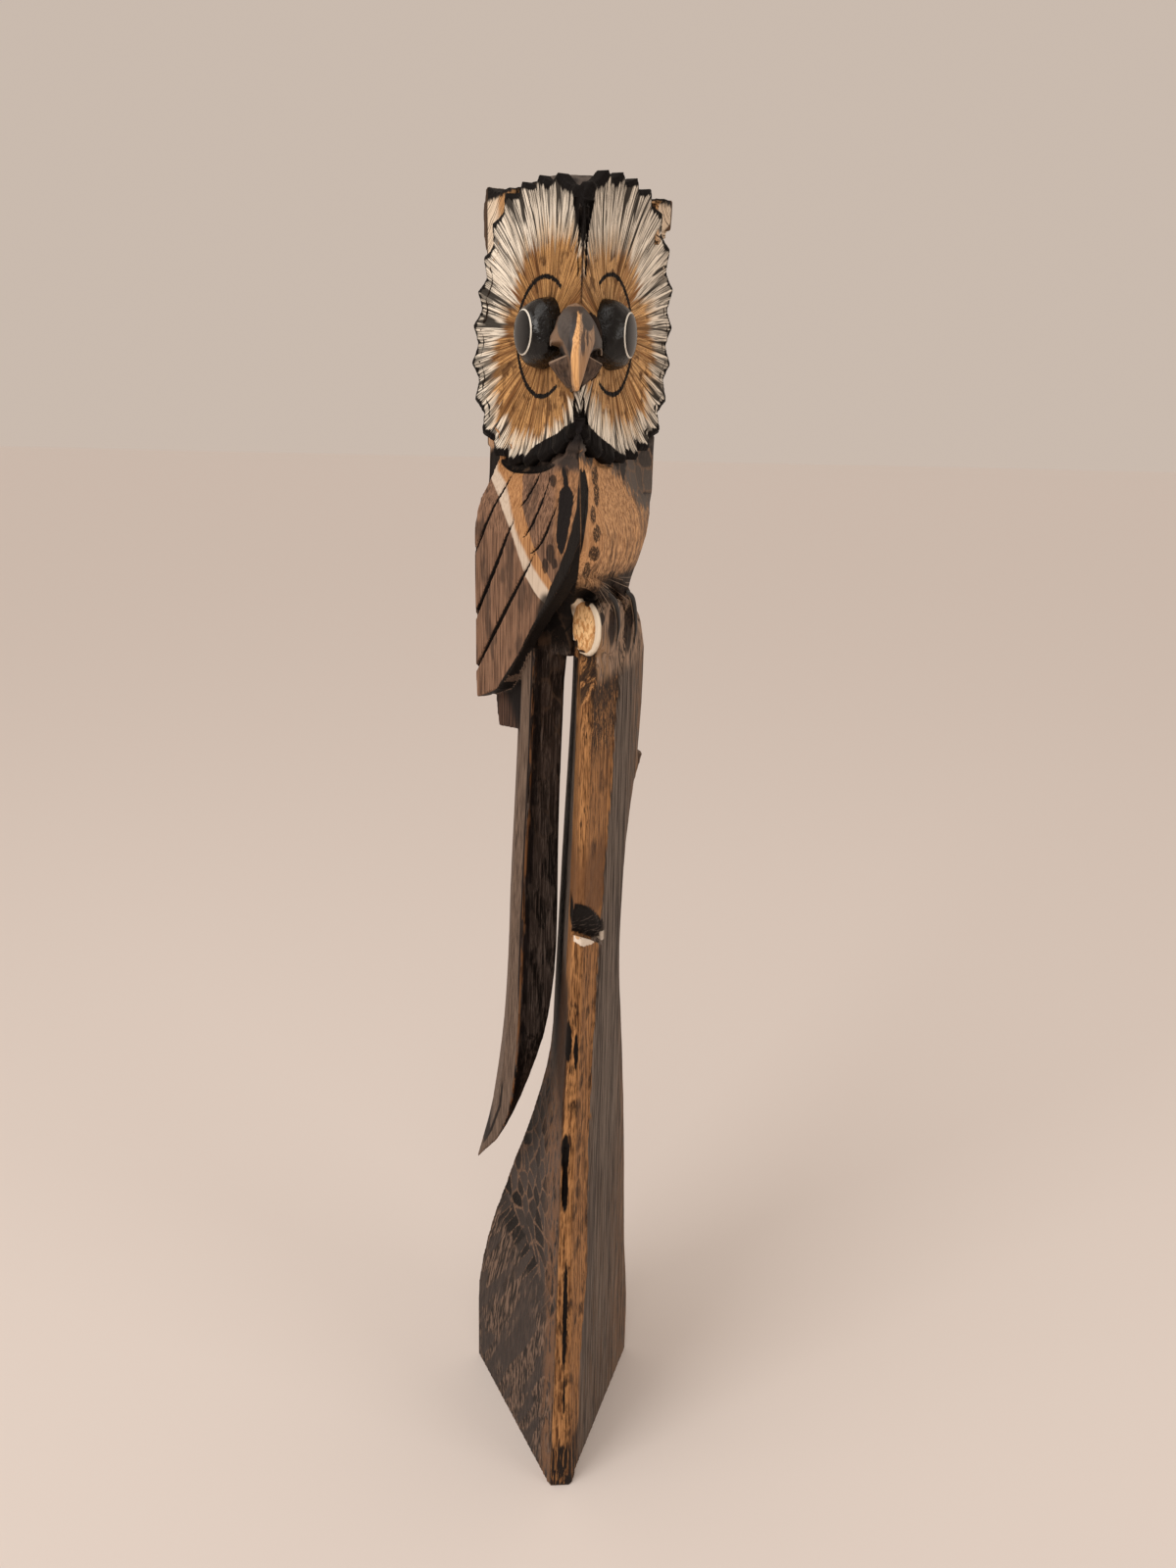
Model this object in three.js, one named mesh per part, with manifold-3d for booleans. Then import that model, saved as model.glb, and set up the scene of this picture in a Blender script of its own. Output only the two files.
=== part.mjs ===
// A carved owl on a branch, with its long tail hanging beside the trunk, all cut from
// one wedge split from a log. Millimetres, +Z up, the sharp edge of the wedge to the front (-Y).
import * as THREE from 'three';
import { mergeVertices } from 'three/addons/utils/BufferGeometryUtils.js';
import Module from 'manifold-3d';

const wasm = await Module();
wasm.setup();

// The wedge: one eighth of a log, standing on end
const HEIGHT = 1000;
const LOG_RADIUS = 184;
const HALF_ANGLE = THREE.MathUtils.degToRad(22.5);
const BARK_STEPS = 6;

// Trunk, from the foot up to the branch. Each pair is a height and a distance.
const TRUNK_TOP = 728;
const TRUNK_LEVELS = 34;
const FOOT_TOP = 60;
const FLARE_TOP = 350;
const FOOT_CORNER = LOG_RADIUS * Math.sin(HALF_ANGLE);
const SLIT_WALL = [[FLARE_TOP, -3], [440, 0], [540, 3.4], [640, 7.4], [TRUNK_TOP, 8.5]];
const RIGHT_EDGE = [
  [0, FOOT_CORNER], [50, FOOT_CORNER], [140, 64.5], [260, 59], [360, 52], [440, 46.2],
  [500, 47], [545, 50], [600, 58], [670, 61.5], [705, 59], [TRUNK_TOP, 47],
];
const NOSE_DEPTH = [[0, 18.5], [20, 16.5], [200, 17], [400, 24], [560, 28], [650, 33], [TRUNK_TOP, 46]];
const NOSE_LEFT = [
  [0, -9.5], [100, -7.5], [200, -6], [330, -4.5], [450, 0], [560, 3.5], [TRUNK_TOP, 5],
];
const BAND_REACH = [[0, 30], [180, 58], [365, 56], [485, 66], [650, 91], [TRUNK_TOP, 120]];
const BAND_RECESS = [[0, -1.6], [120, 0.5], [300, 2], [690, 2], [TRUNK_TOP, 9]];
const SHOULDER = [[0, 0], [694, 0], [710, 2], [TRUNK_TOP, 8]];
const NOSE_ROUNDING = 3;

// The step with the pale lip, and the two long cracks in the front band
const LIP = { x: -4, y: 27, z: 500, turn: 50, slant: 0.56, depth: 7, top: -5, rise: 24, length: 56 };
const CRACKS = [
  { bottom: 262, top: 342, x: -0.5, width: 5.5 },
  { bottom: 105, top: 232, x: 1.5, width: 4 },
];
const CRACK_DEPTH = 7;

// Tail: a board with its outer face near the left sawn plane, ending in a point
const TAIL_TOP = 726;
const TAIL_TIP = 216;
const TAIL_LEVELS = 26;
const TAIL_OUTER = [
  [TAIL_TIP, -70.6], [265, -58], [300, -52.5], [350, -46.8], [410, -43.2], [480, -41], [540, -38.8],
  [610, -36], [TAIL_TOP, -33],
];
const TAIL_INNER = [
  [TAIL_TIP, -69.6], [265, -48], [300, -36.5], [340, -24.5], [380, -13.5], [430, -7], [470, -5.4],
  [550, -5.3], [633, -3.8], [690, -1.2], [TAIL_TOP, 10],
];
const TAIL_RECESS = [[TAIL_TIP, 0], [320, 0], [420, 2.5], [600, 9], [TAIL_TOP, 9]];
const TAIL_STRIP = [[TAIL_TIP, 0.6], [300, 9], [450, 7.5], [TAIL_TOP, 7]];
const TAIL_CHAMFER = 13;

// Body, between the branch and the head
const BODY_BOTTOM = 688;
const BODY_TOP = 850;
const BODY_LEVELS = 20;
const BODY_RIGHT = [
  [BODY_BOTTOM, 34], [715, 42], [732, 47], [745, 50.5], [771, 59.5], [795, 64.5], [820, 65.5],
  [BODY_TOP, 66],
];
const BODY_LEFT = [[BODY_BOTTOM, -34], [706, -50], [740, -60], [BODY_TOP, -58]];
const RIDGE_DEPTH = [
  [BODY_BOTTOM, 88], [715, 78], [734, 58], [748, 36], [765, 22], [795, 13], [820, 14], [832, 22],
  [840, 34], [BODY_TOP, 50],
];
const BREAST_RECESS = [
  [BODY_BOTTOM, 14], [722, 11], [738, 9], [758, 2], [778, 0.5], [806, 8.5], [822, 12], [BODY_TOP, 16],
];
const FLANK_RECESS = [[BODY_BOTTOM, 14], [720, 13], [760, 10], [BODY_TOP, 14]];
const BREAST_CROWN = 5;

// Wing: a plate on the left sawn plane. Points are a distance along the face and a height.
const WING_THICKNESS = 11;
const WING_EDGE = [
  [24, 838], [7, 826], [0.5, 795], [4, 777], [17, 758], [44, 735], [77, 709], [112, 675], [138, 655],
];
const WING_TIP = [181, 640];
const WING_BACK = 184;
const WING_SHOULDER = [[WING_BACK, 762], [180, 790], [166, 815], [150, 838]];
const NECK = [[766, 0.6], [788, -2], [812, -8.5], [830, -11.5]];
const FEATHER_CUTS = [
  { from: [106, 818], to: [184, 754], width: 4 },
  { from: [106, 783], to: [184, 702], width: 4.5 },
  { from: [74, 760], to: [184, 661], width: 4.5 },
  { from: [60, 820], to: [91, 797], width: 3 },
  { from: [46, 814], to: [82, 778], width: 3.5 },
  { from: [35, 803], to: [70, 766], width: 3.5 },
];
const UNDER_LAYER = [[112, 700], [166, 660], [172, 640], [166, 619], [112, 628]];
const UNDER_RECESS = 13;
const UNDER_THICKNESS = 16;

// Face discs: one on each sawn plane, hollowed like a shell, with a scalloped rim
const SCALLOPS = 24;
const SCALLOP_STEPS = 4;
const SCALLOP_DEPTH = 4.5;
const SCALLOP_TURN = THREE.MathUtils.degToRad(5);
const FLUTE_DEPTH = 2.4;
const DISC_EDGE = 9;
const DISC_FLOOR = 34;
const DISH_DEPTH = 12;
const DISC_GAP = 3;
const DISCS = [
  {
    side: -1, s: 95, z: 907, rim: -5.6, tilt: 5.6,
    radii: [
      [-180, 98], [-150, 90], [-120, 84.5], [-88, 84.6], [-62, 92], [-45, 97], [-25, 95.5], [0, 90], [20, 84],
      [40, 88], [63, 96], [79, 93.5], [93, 92.7], [113, 97], [150, 99], [180, 98],
    ],
  },
  {
    side: 1, s: 97, z: 909.5, rim: -4, tilt: 8,
    radii: [
      [-180, 98], [-130, 93], [-87, 86], [-65, 88.6], [-42, 97.5], [-25, 96], [0, 93], [19, 99], [42, 104],
      [60, 103.5], [74, 97.5], [94, 94], [120, 98], [150, 99], [180, 98],
    ],
  },
];
const DISH_RINGS = [0.3, 0.52, 0.72, 0.86, 0.95, 1];

// Head behind the discs
const HOOD_RECESS = 11;
const HOOD_BOTTOM = 832;
const EAR_THICKNESS = 14;
const EARS = [
  {
    side: -1, n: -10.5,
    outline: [
      [128, 997], [146, 1002], [160, 1001], [172, 1003], [184, 1008], [190, 992], [187, 970], [176, 953],
      [140, 950],
    ],
  },
  { side: 1, n: 1, outline: [[154, 1001], [170, 1001], [187, 1003], [186, 985], [181, 974], [158, 968]] },
];
const HEAD_CORE_RECESS = 26;
const HEAD_CORE_BOTTOM = 830;
const CROWN_NOTCH = { depth: 30, height: 957 };
const CROWN_BACK = { depth: 78, height: HEIGHT };
const CROWN_WIDTH = 80;

// Eyes: turned bosses that rise from the bottom of each dish
const EYE = { s: 93, z: 906, foot: 24, lens: 15.8, rise: 20, base: -19, sides: 28 };

// Beak
const BEAK_TOP = 925;
const BEAK_TIP = 868;
const BEAK_RIDGE = [[BEAK_TIP, 9], [876, 7.5], [890, 8.5], [905, 15], [916, 27], [BEAK_TOP, 44]];
const BEAK_HALF_WIDTH = [
  [BEAK_TIP, 0.5], [878, 3.5], [888, 8.5], [897, 14.5], [907, 15], [917, 11], [BEAK_TOP, 3],
];
const BEAK_BACK = 62;
const BEAK_LEAN = 3;
const BEAK_RIDGE_HALF = 1.6;
const BEAK_CHEEK = { forward: 0.45, width: 0.72 };
const GAPE = { x: 18, y: 33, z: 895, radius: 6.5 };
const JAW_TOP = 892;
const JAW_TIP = 864;
const JAW_RIDGE = [[JAW_TIP, 36], [878, 24], [JAW_TOP, 26]];
const JAW_HALF_WIDTH = [[JAW_TIP, 3], [878, 13], [JAW_TOP, 18]];

// Branch end, toes and the splinter on the right edge
const BRANCH = { x: 8, y: 58, z: 713.5, radius: 20.5, squash: 0.86, length: 62, turn: 58, sides: 24 };
const BRANCH_STEP = { proud: 3, bottom: 692, slope: 0.6 };
const TOES = [
  { from: [36, 748], over: [66, 744], to: [84, 702] },
  { from: [86, 746], over: [115, 738], to: [131, 692] },
];
const TOE_RADIUS = 5;
const TOE_LIFT = [[0, -12], [0.3, -3.5], [0.75, -2.5], [1, -2]];
const TOE_STEPS = 9;
const SPLINTER = { z: 566, length: 35, width: 9, lean: 8.5, tip: 1.6, root: 6, y: 150 };

// A smooth curve of distance against height through a few named stations
function through(stations) {
  const slope = stations.map((_, i) => {
    const before = stations[Math.max(i - 1, 0)];
    const after = stations[Math.min(i + 1, stations.length - 1)];
    return (after[1] - before[1]) / (after[0] - before[0]);
  });
  return (z) => {
    let i = 0;
    while (i < stations.length - 2 && z > stations[i + 1][0]) i += 1;
    const [z0, v0] = stations[i];
    const [z1, v1] = stations[i + 1];
    const span = z1 - z0;
    const t = THREE.MathUtils.clamp((z - z0) / span, 0, 1);
    const t2 = t * t;
    const t3 = t2 * t;
    return (2 * t3 - 3 * t2 + 1) * v0 + (t3 - 2 * t2 + t) * span * slope[i]
      + (3 * t2 - 2 * t3) * v1 + (t3 - t2) * span * slope[i + 1];
  };
}

// A closed geometry becomes a solid that can be joined and cut
function solid(geometry) {
  let merged = geometry.clone();
  merged.deleteAttribute('normal');
  merged.deleteAttribute('uv');
  merged = mergeVertices(merged, 1e-3);
  return new wasm.Manifold(new wasm.Mesh({
    numProp: 3,
    vertProperties: new Float32Array(merged.attributes.position.array),
    triVerts: new Uint32Array(merged.index.array),
  }));
}

function join(solids) {
  return solids.reduce((all, next) => all.add(next));
}

// Rings of points, one above the other, skinned and closed by a fan at each end
function loft(rings) {
  const count = rings[0].length;
  const ends = [rings[0], rings[rings.length - 1]].map((ring) => (
    ring.reduce((sum, p) => sum.add(p), new THREE.Vector3()).divideScalar(count)
  ));
  const positions = [...rings.flat(), ...ends].flatMap((p) => [p.x, p.y, p.z]);
  const index = [];
  const top = rings.length - 1;
  const bottomCentre = rings.length * count;
  for (let k = 0; k < count; k += 1) {
    const next = (k + 1) % count;
    for (let level = 0; level < top; level += 1) {
      const a = level * count + k;
      const b = level * count + next;
      index.push(a, b, b + count, a, b + count, a + count);
    }
    index.push(bottomCentre, next, k, bottomCentre + 1, top * count + k, top * count + next);
  }
  const geometry = new THREE.BufferGeometry();
  geometry.setAttribute('position', new THREE.Float32BufferAttribute(positions, 3));
  geometry.setIndex(index);
  return geometry;
}

function levels(bottom, top, count) {
  return Array.from({ length: count + 1 }, (_, i) => bottom + ((top - bottom) * i) / count);
}

// A point on or above a sawn plane: s runs back along the face, n stands off it
function facePoint(side, s, z, n) {
  const sin = Math.sin(HALF_ANGLE);
  const cos = Math.cos(HALF_ANGLE);
  return new THREE.Vector3(side * (s * sin + n * cos), s * cos - n * sin, z);
}

// Moves a geometry drawn in (s, z, n) onto a sawn plane, keeping its faces pointing out
function ontoFace(geometry, side) {
  const placed = geometry.index ? geometry : mergeVertices(geometry);
  const position = placed.attributes.position;
  for (let i = 0; i < position.count; i += 1) {
    const p = facePoint(side, position.getX(i), position.getY(i), position.getZ(i));
    position.setXYZ(i, p.x, p.y, p.z);
  }
  if (side < 0) placed.index.array.reverse();
  return placed;
}

function barkPoint(x, z) {
  return new THREE.Vector3(x, Math.sqrt(LOG_RADIUS ** 2 - x ** 2), z);
}

// Points on the bark from one x to another
function barkArc(fromX, toX, z) {
  return levels(fromX, toX, BARK_STEPS).map((x) => barkPoint(x, z));
}

// The wedge with both sawn planes set back by a recess
function wedge(bottom, top, recess) {
  const front = new THREE.Vector3(0, recess / Math.sin(HALF_ANGLE), 0);
  const corner = facePoint(1, LOG_RADIUS, 0, -recess);
  const ring = (z) => [front.clone().setZ(z), ...barkArc(corner.x, -corner.x, z)];
  return solid(loft([ring(bottom), ring(top)]));
}

function trunkLeft(z) {
  if (z >= FLARE_TOP) return through(SLIT_WALL)(z);
  const rise = THREE.MathUtils.smoothstep(z, FOOT_TOP, FLARE_TOP);
  return THREE.MathUtils.lerp(-FOOT_CORNER, SLIT_WALL[0][1], rise);
}

function trunk() {
  const noseDepth = through(NOSE_DEPTH);
  const noseLeft = through(NOSE_LEFT);
  const rightEdge = through(RIGHT_EDGE);
  const bandReach = through(BAND_REACH);
  const bandRecess = through(BAND_RECESS);
  const shoulder = through(SHOULDER);
  const cos = Math.cos(HALF_ANGLE);
  const ring = (z) => {
    const right = rightEdge(z);
    const edge = right / Math.sin(HALF_ANGLE);
    const band = Math.min(bandReach(z), edge - 14);
    const recess = bandRecess(z);
    const drop = shoulder(z);
    const depth = noseDepth(z);
    const left = noseLeft(z);
    const tip = facePoint(1, depth / cos + NOSE_ROUNDING, z, -recess);
    const back = trunkLeft(z);
    const bark = barkArc(right, back, z);
    const leftFar = bark[bark.length - 1];
    const leftNear = new THREE.Vector3(left, depth + NOSE_ROUNDING, z);
    return [
      leftNear,
      new THREE.Vector3(left + NOSE_ROUNDING * 0.8, depth, z),
      new THREE.Vector3(tip.x - NOSE_ROUNDING * 0.8, depth, z),
      tip,
      facePoint(1, THREE.MathUtils.lerp(depth + 4, band, 0.55), z, -recess),
      facePoint(1, band, z, -recess),
      facePoint(1, band + 4, z, -drop),
      facePoint(1, edge - 3, z, -drop),
      ...bark,
      leftFar.clone().lerp(leftNear, 0.33),
      leftFar.clone().lerp(leftNear, 0.67),
    ];
  };
  return solid(loft(levels(0, TRUNK_TOP, TRUNK_LEVELS).map(ring))).subtract(branchClearance());
}

// The cut above the pale lip, a wedge of wood taken out across the front band
function lipCut() {
  const profile = new THREE.Shape([
    new THREE.Vector2(-30, 0), new THREE.Vector2(LIP.depth, 0), new THREE.Vector2(LIP.top, LIP.rise),
    new THREE.Vector2(-30, LIP.rise),
  ]);
  const cut = new THREE.ExtrudeGeometry(profile, { depth: LIP.length, bevelEnabled: false });
  const turn = THREE.MathUtils.degToRad(LIP.turn);
  const [along, across] = [Math.cos(turn), Math.sin(turn)];
  cut.applyMatrix4(new THREE.Matrix4().set(
    -across, 0, along, LIP.x - 8 * along,
    along, 0, across, LIP.y - 8 * across,
    0, 1, -LIP.slant, LIP.z + 8 * LIP.slant,
    0, 0, 0, 1,
  ));
  return solid(cut);
}

function crackCuts() {
  return CRACKS.map(({ bottom, top, x, width }) => {
    const cut = new THREE.CylinderGeometry(width / 2, width / 2, top - bottom, 4, 4);
    const position = cut.attributes.position;
    for (let i = 0; i < position.count; i += 1) {
      const taper = Math.cos((Math.PI * 0.9 * position.getY(i)) / (top - bottom));
      position.setX(i, position.getX(i) * taper);
      position.setZ(i, position.getZ(i) * taper * (2 * CRACK_DEPTH / width));
    }
    cut.rotateX(Math.PI / 2);
    const middle = (bottom + top) / 2;
    cut.translate(x, through(NOSE_DEPTH)(middle), middle);
    return solid(cut);
  });
}

function tail() {
  const outer = through(TAIL_OUTER);
  const inner = through(TAIL_INNER);
  const recess = through(TAIL_RECESS);
  const strip = through(TAIL_STRIP);
  const ring = (z) => {
    const back = barkArc(inner(z), outer(z), z);
    const depthAt = (x) => (recess(z) / Math.cos(HALF_ANGLE) - x) / Math.tan(HALF_ANGLE);
    const outerX = outer(z);
    const stripX = outerX + strip(z);
    const room = back[0].y - depthAt(stripX);
    const chamfer = Math.min(TAIL_CHAMFER, room * 0.5);
    return [
      new THREE.Vector3(outerX, Math.min(depthAt(outerX), back[BARK_STEPS].y - 0.6), z),
      new THREE.Vector3(stripX, depthAt(stripX), z),
      new THREE.Vector3(inner(z), depthAt(stripX) + chamfer, z),
      ...back,
    ];
  };
  return solid(loft(levels(TAIL_TIP, TAIL_TOP, TAIL_LEVELS).map(ring)));
}

function body() {
  const ridge = through(RIDGE_DEPTH);
  const right = through(BODY_RIGHT);
  const left = through(BODY_LEFT);
  const breast = through(BREAST_RECESS);
  const flank = through(FLANK_RECESS);
  const cos = Math.cos(HALF_ANGLE);
  const sin = Math.sin(HALF_ANGLE);
  const ring = (z) => {
    const recess = breast(z);
    const edge = (right(z) + recess * cos) / sin;
    const start = ridge(z) / cos;
    const farEdge = Math.min(edge, LOG_RADIUS - 4);
    const alongBreast = [0.12, 0.35, 0.6, 0.85].map((t) => {
      const sag = BREAST_CROWN * (1 - Math.sin(Math.PI * Math.min(t, 0.5))) * 0.4;
      return facePoint(1, THREE.MathUtils.lerp(start + recess, farEdge, t), z, -recess - sag);
    });
    const flankEdge = (-left(z) + flank(z) * cos) / sin;
    const rightY = Math.min(facePoint(1, edge, z, -recess).y + 4, barkPoint(right(z), z).y - 2);
    return [
      new THREE.Vector3(0, Math.max(ridge(z), recess / sin + 1), z),
      ...alongBreast,
      new THREE.Vector3(right(z), rightY, z),
      ...barkArc(right(z) - 3, left(z), z),
      facePoint(-1, flankEdge - 2, z, -flank(z)),
      facePoint(-1, Math.max(start, flank(z) / Math.tan(HALF_ANGLE)) + 12, z, -flank(z)),
    ];
  };
  return solid(loft(levels(BODY_BOTTOM, BODY_TOP, BODY_LEVELS).map(ring)));
}

// A flat outline on a sawn plane, from one stand-off to another
function facePlate(points, side, fromN, toN) {
  const shape = new THREE.Shape(points.map(([s, z]) => new THREE.Vector2(s, z)));
  const plate = new THREE.ExtrudeGeometry(shape, { depth: toN - fromN, bevelEnabled: false });
  plate.translate(0, 0, fromN);
  plate.deleteAttribute('normal');
  plate.deleteAttribute('uv');
  return mergeVertices(plate);
}

function wing() {
  const edge = new THREE.SplineCurve(WING_EDGE.map(([s, z]) => new THREE.Vector2(s, z))).getPoints(24);
  const back = WING_SHOULDER.map(([s, z]) => new THREE.Vector2(s, z));
  const shoulder = new THREE.SplineCurve(back).getPoints(8);
  const outline = [...edge.map((p) => [p.x, p.y]), WING_TIP, ...shoulder.map((p) => [p.x, p.y])];
  const plate = facePlate(outline, -1, -WING_THICKNESS, 0);
  const slope = [...NECK, [BODY_TOP, -13], [BODY_TOP, 10], [NECK[0][0], 10]];
  const neckProfile = new THREE.Shape(slope.map(([z, n]) => new THREE.Vector2(z, n)));
  const neck = new THREE.ExtrudeGeometry(neckProfile, { depth: 240, bevelEnabled: false });
  neck.applyMatrix4(new THREE.Matrix4().set(0, 0, 1, -20, 1, 0, 0, 0, 0, 1, 0, 0, 0, 0, 0, 1));
  const cuts = FEATHER_CUTS.map(({ from, to, width }) => {
    const run = new THREE.Vector2(to[0] - from[0], to[1] - from[1]);
    const cut = new THREE.CylinderGeometry(width / 2, 0.4, run.length(), 4);
    cut.rotateZ(run.angle() - Math.PI / 2);
    cut.translate((from[0] + to[0]) / 2, (from[1] + to[1]) / 2, 0);
    return solid(ontoFace(mergeVertices(stripped(cut)), -1));
  });
  const bark = wedge(0, HEIGHT, 0);
  const neckCut = solid(ontoFace(mergeVertices(stripped(neck)), -1));
  return solid(ontoFace(plate, -1)).intersect(bark).subtract(join([neckCut, ...cuts]));
}

function stripped(geometry) {
  geometry.deleteAttribute('normal');
  geometry.deleteAttribute('uv');
  return geometry;
}

function underLayer() {
  const plate = facePlate(UNDER_LAYER, -1, -UNDER_RECESS - UNDER_THICKNESS, -UNDER_RECESS);
  return solid(ontoFace(plate, -1));
}

// A round solid between a disc's hollowed face, lowered by drop, and a plain far side
function dishSolid({ side, s, z, radii, rim, tilt }, drop, farRim, farMiddle) {
  const turns = SCALLOPS * SCALLOP_STEPS;
  const rimRadius = through(radii);
  const facePointAt = (i, share) => {
    const angle = (2 * Math.PI * i) / turns;
    const hollow = Math.abs(Math.sin((SCALLOPS / 2) * (angle - SCALLOP_TURN))) ** 0.8;
    const towardRim = THREE.MathUtils.smoothstep(share, 0.5, 1);
    const reach = rimRadius(THREE.MathUtils.radToDeg(angle > Math.PI ? angle - 2 * Math.PI : angle));
    const r = share * (reach - SCALLOP_DEPTH * hollow * towardRim);
    const dish = DISH_DEPTH * (1 - share ** 2) + FLUTE_DEPTH * hollow * towardRim;
    const n = rim + tilt * share * Math.cos(angle) - dish - drop;
    return [s + r * Math.cos(angle), z + r * Math.sin(angle), n];
  };
  const position = [s, z, rim - DISH_DEPTH - drop];
  for (const share of DISH_RINGS) {
    for (let i = 0; i < turns; i += 1) position.push(...facePointAt(i, share));
  }
  for (let i = 0; i < turns; i += 1) {
    const [rimS, rimZ, rimN] = facePointAt(i, 1);
    position.push(rimS, rimZ, rimN + farRim);
  }
  position.push(s, z, farMiddle);
  const index = [];
  const far = 1 + DISH_RINGS.length * turns;
  for (let i = 0; i < turns; i += 1) {
    const next = (i + 1) % turns;
    index.push(0, 1 + i, 1 + next);
    for (let a = 1 + i, b = 1 + next; a < far; a += turns, b += turns) {
      index.push(a, a + turns, b + turns, a, b + turns, b);
    }
    index.push(far + i, far + turns, far + next);
  }
  const geometry = new THREE.BufferGeometry();
  geometry.setAttribute('position', new THREE.Float32BufferAttribute(position, 3));
  geometry.setIndex(farRim < 0 ? index : index.reverse());
  return solid(ontoFace(geometry, side));
}

// Cuts a face's solid off at the middle of the wedge, where it meets the other face
function ownHalf(shape, side) {
  const half = new THREE.BoxGeometry(2 * LOG_RADIUS, 2 * LOG_RADIUS, 2 * HEIGHT);
  half.translate(side * LOG_RADIUS, LOG_RADIUS, HEIGHT);
  return shape.intersect(solid(half));
}

function faceDisc(disc) {
  return ownHalf(dishSolid(disc, 0, -DISC_EDGE, -DISC_FLOOR), disc.side);
}

// The hood and crown behind the discs, hollowed out under them
function head() {
  const clear = 2 * DISC_FLOOR;
  const hollows = DISCS.map((disc) => ownHalf(dishSolid(disc, DISC_GAP, clear, clear), disc.side));
  const slope = new THREE.Shape([
    new THREE.Vector2(-50, HEIGHT + 60),
    new THREE.Vector2(-50, CROWN_NOTCH.height - 40),
    new THREE.Vector2(CROWN_NOTCH.depth - 4, CROWN_NOTCH.height - 40),
    new THREE.Vector2(CROWN_NOTCH.depth, CROWN_NOTCH.height),
    new THREE.Vector2(CROWN_BACK.depth, CROWN_BACK.height),
    new THREE.Vector2(CROWN_BACK.depth, HEIGHT + 60),
  ]);
  const slopeCut = new THREE.ExtrudeGeometry(slope, { depth: CROWN_WIDTH, bevelEnabled: false });
  slopeCut.rotateX(Math.PI / 2);
  slopeCut.rotateZ(Math.PI / 2);
  slopeCut.translate(-CROWN_WIDTH / 2, 0, 0);
  const hood = wedge(HOOD_BOTTOM, HEIGHT, HOOD_RECESS);
  const core = wedge(HEAD_CORE_BOTTOM, HEIGHT - 4, HEAD_CORE_RECESS);
  return hood.add(core).subtract(join(hollows)).subtract(solid(slopeCut));
}

// The tuft at each back corner of the head, its top edge hollowed
function ear({ side, n, outline }) {
  return solid(ontoFace(facePlate(outline, side, n - EAR_THICKNESS, n), side));
}

function eye(side) {
  const profile = [
    [0, EYE.base - 8],
    [EYE.foot, EYE.base - 8],
    [EYE.foot, EYE.base],
    [EYE.foot - 0.6, EYE.base + EYE.rise * 0.35],
    [EYE.foot - 2.6, EYE.base + EYE.rise * 0.7],
    [EYE.lens, EYE.base + EYE.rise],
    [EYE.lens * 0.6, EYE.base + EYE.rise + 1],
    [0, EYE.base + EYE.rise + 1.4],
  ].map(([r, n]) => new THREE.Vector2(r, n));
  const boss = new THREE.LatheGeometry(profile, EYE.sides);
  boss.rotateX(Math.PI / 2);
  boss.translate(EYE.s, EYE.z, 0);
  return solid(ontoFace(mergeVertices(stripped(boss)), side));
}

// A keel-shaped solid with its ridge to the front
function keel(bottom, top, ridge, halfWidth, lean, count) {
  const ridgeAt = through(ridge);
  const widthAt = through(halfWidth);
  const ring = (z) => {
    const shift = -lean * (1 - (z - bottom) / (top - bottom));
    const w = widthAt(z);
    const y = ridgeAt(z);
    const cheekY = THREE.MathUtils.lerp(y, BEAK_BACK, BEAK_CHEEK.forward);
    const cheek = w * BEAK_CHEEK.width + BEAK_RIDGE_HALF;
    return [
      new THREE.Vector3(shift - BEAK_RIDGE_HALF, y, z),
      new THREE.Vector3(shift + BEAK_RIDGE_HALF, y, z),
      new THREE.Vector3(shift + cheek, cheekY, z),
      new THREE.Vector3(w + 2, BEAK_BACK, z),
      new THREE.Vector3(-w - 2, BEAK_BACK, z),
      new THREE.Vector3(shift - cheek, cheekY, z),
    ];
  };
  return solid(loft(levels(bottom, top, count).map(ring)));
}

function beak() {
  const upper = keel(BEAK_TIP, BEAK_TOP, BEAK_RIDGE, BEAK_HALF_WIDTH, BEAK_LEAN, 12);
  const jaw = keel(JAW_TIP, JAW_TOP, JAW_RIDGE, JAW_HALF_WIDTH, 0, 5);
  const gapes = [-1, 1].map((side) => {
    const gape = new THREE.SphereGeometry(GAPE.radius, 12, 8);
    gape.scale(1, 1.2, 0.8);
    gape.translate(side * GAPE.x, GAPE.y, GAPE.z);
    return solid(gape);
  });
  return upper.add(jaw).subtract(join(gapes));
}

function branch() {
  const stub = new THREE.CylinderGeometry(BRANCH.radius, BRANCH.radius - 1.5, BRANCH.length, BRANCH.sides, 2);
  stub.scale(BRANCH.squash, 1, 1);
  stub.translate(0, BRANCH.length / 2, 0);
  return solid(turnedWithBranch(stub)).intersect(wedge(0, HEIGHT, 0.6));
}

// Moves a geometry whose +Y runs into the branch from the middle of its sawn end
function turnedWithBranch(geometry) {
  geometry.rotateZ(-THREE.MathUtils.degToRad(BRANCH.turn));
  geometry.translate(BRANCH.x, BRANCH.y, BRANCH.z);
  return geometry;
}

// Clears the trunk away in front of the branch end, with a slope below it
function branchClearance() {
  const { proud, bottom, slope } = BRANCH_STEP;
  const below = bottom - BRANCH.z;
  const profile = new THREE.Shape([
    new THREE.Vector2(proud, below), new THREE.Vector2(proud, 60), new THREE.Vector2(-60, 60),
    new THREE.Vector2(-60, below - 60 / slope), new THREE.Vector2(proud, below - 0.5),
  ].reverse());
  const clear = new THREE.ExtrudeGeometry(profile, { depth: 90, bevelEnabled: false });
  clear.applyMatrix4(new THREE.Matrix4().set(0, 0, 1, -45, 1, 0, 0, 0, 0, 1, 0, 0, 0, 0, 0, 1));
  return solid(turnedWithBranch(clear));
}

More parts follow.
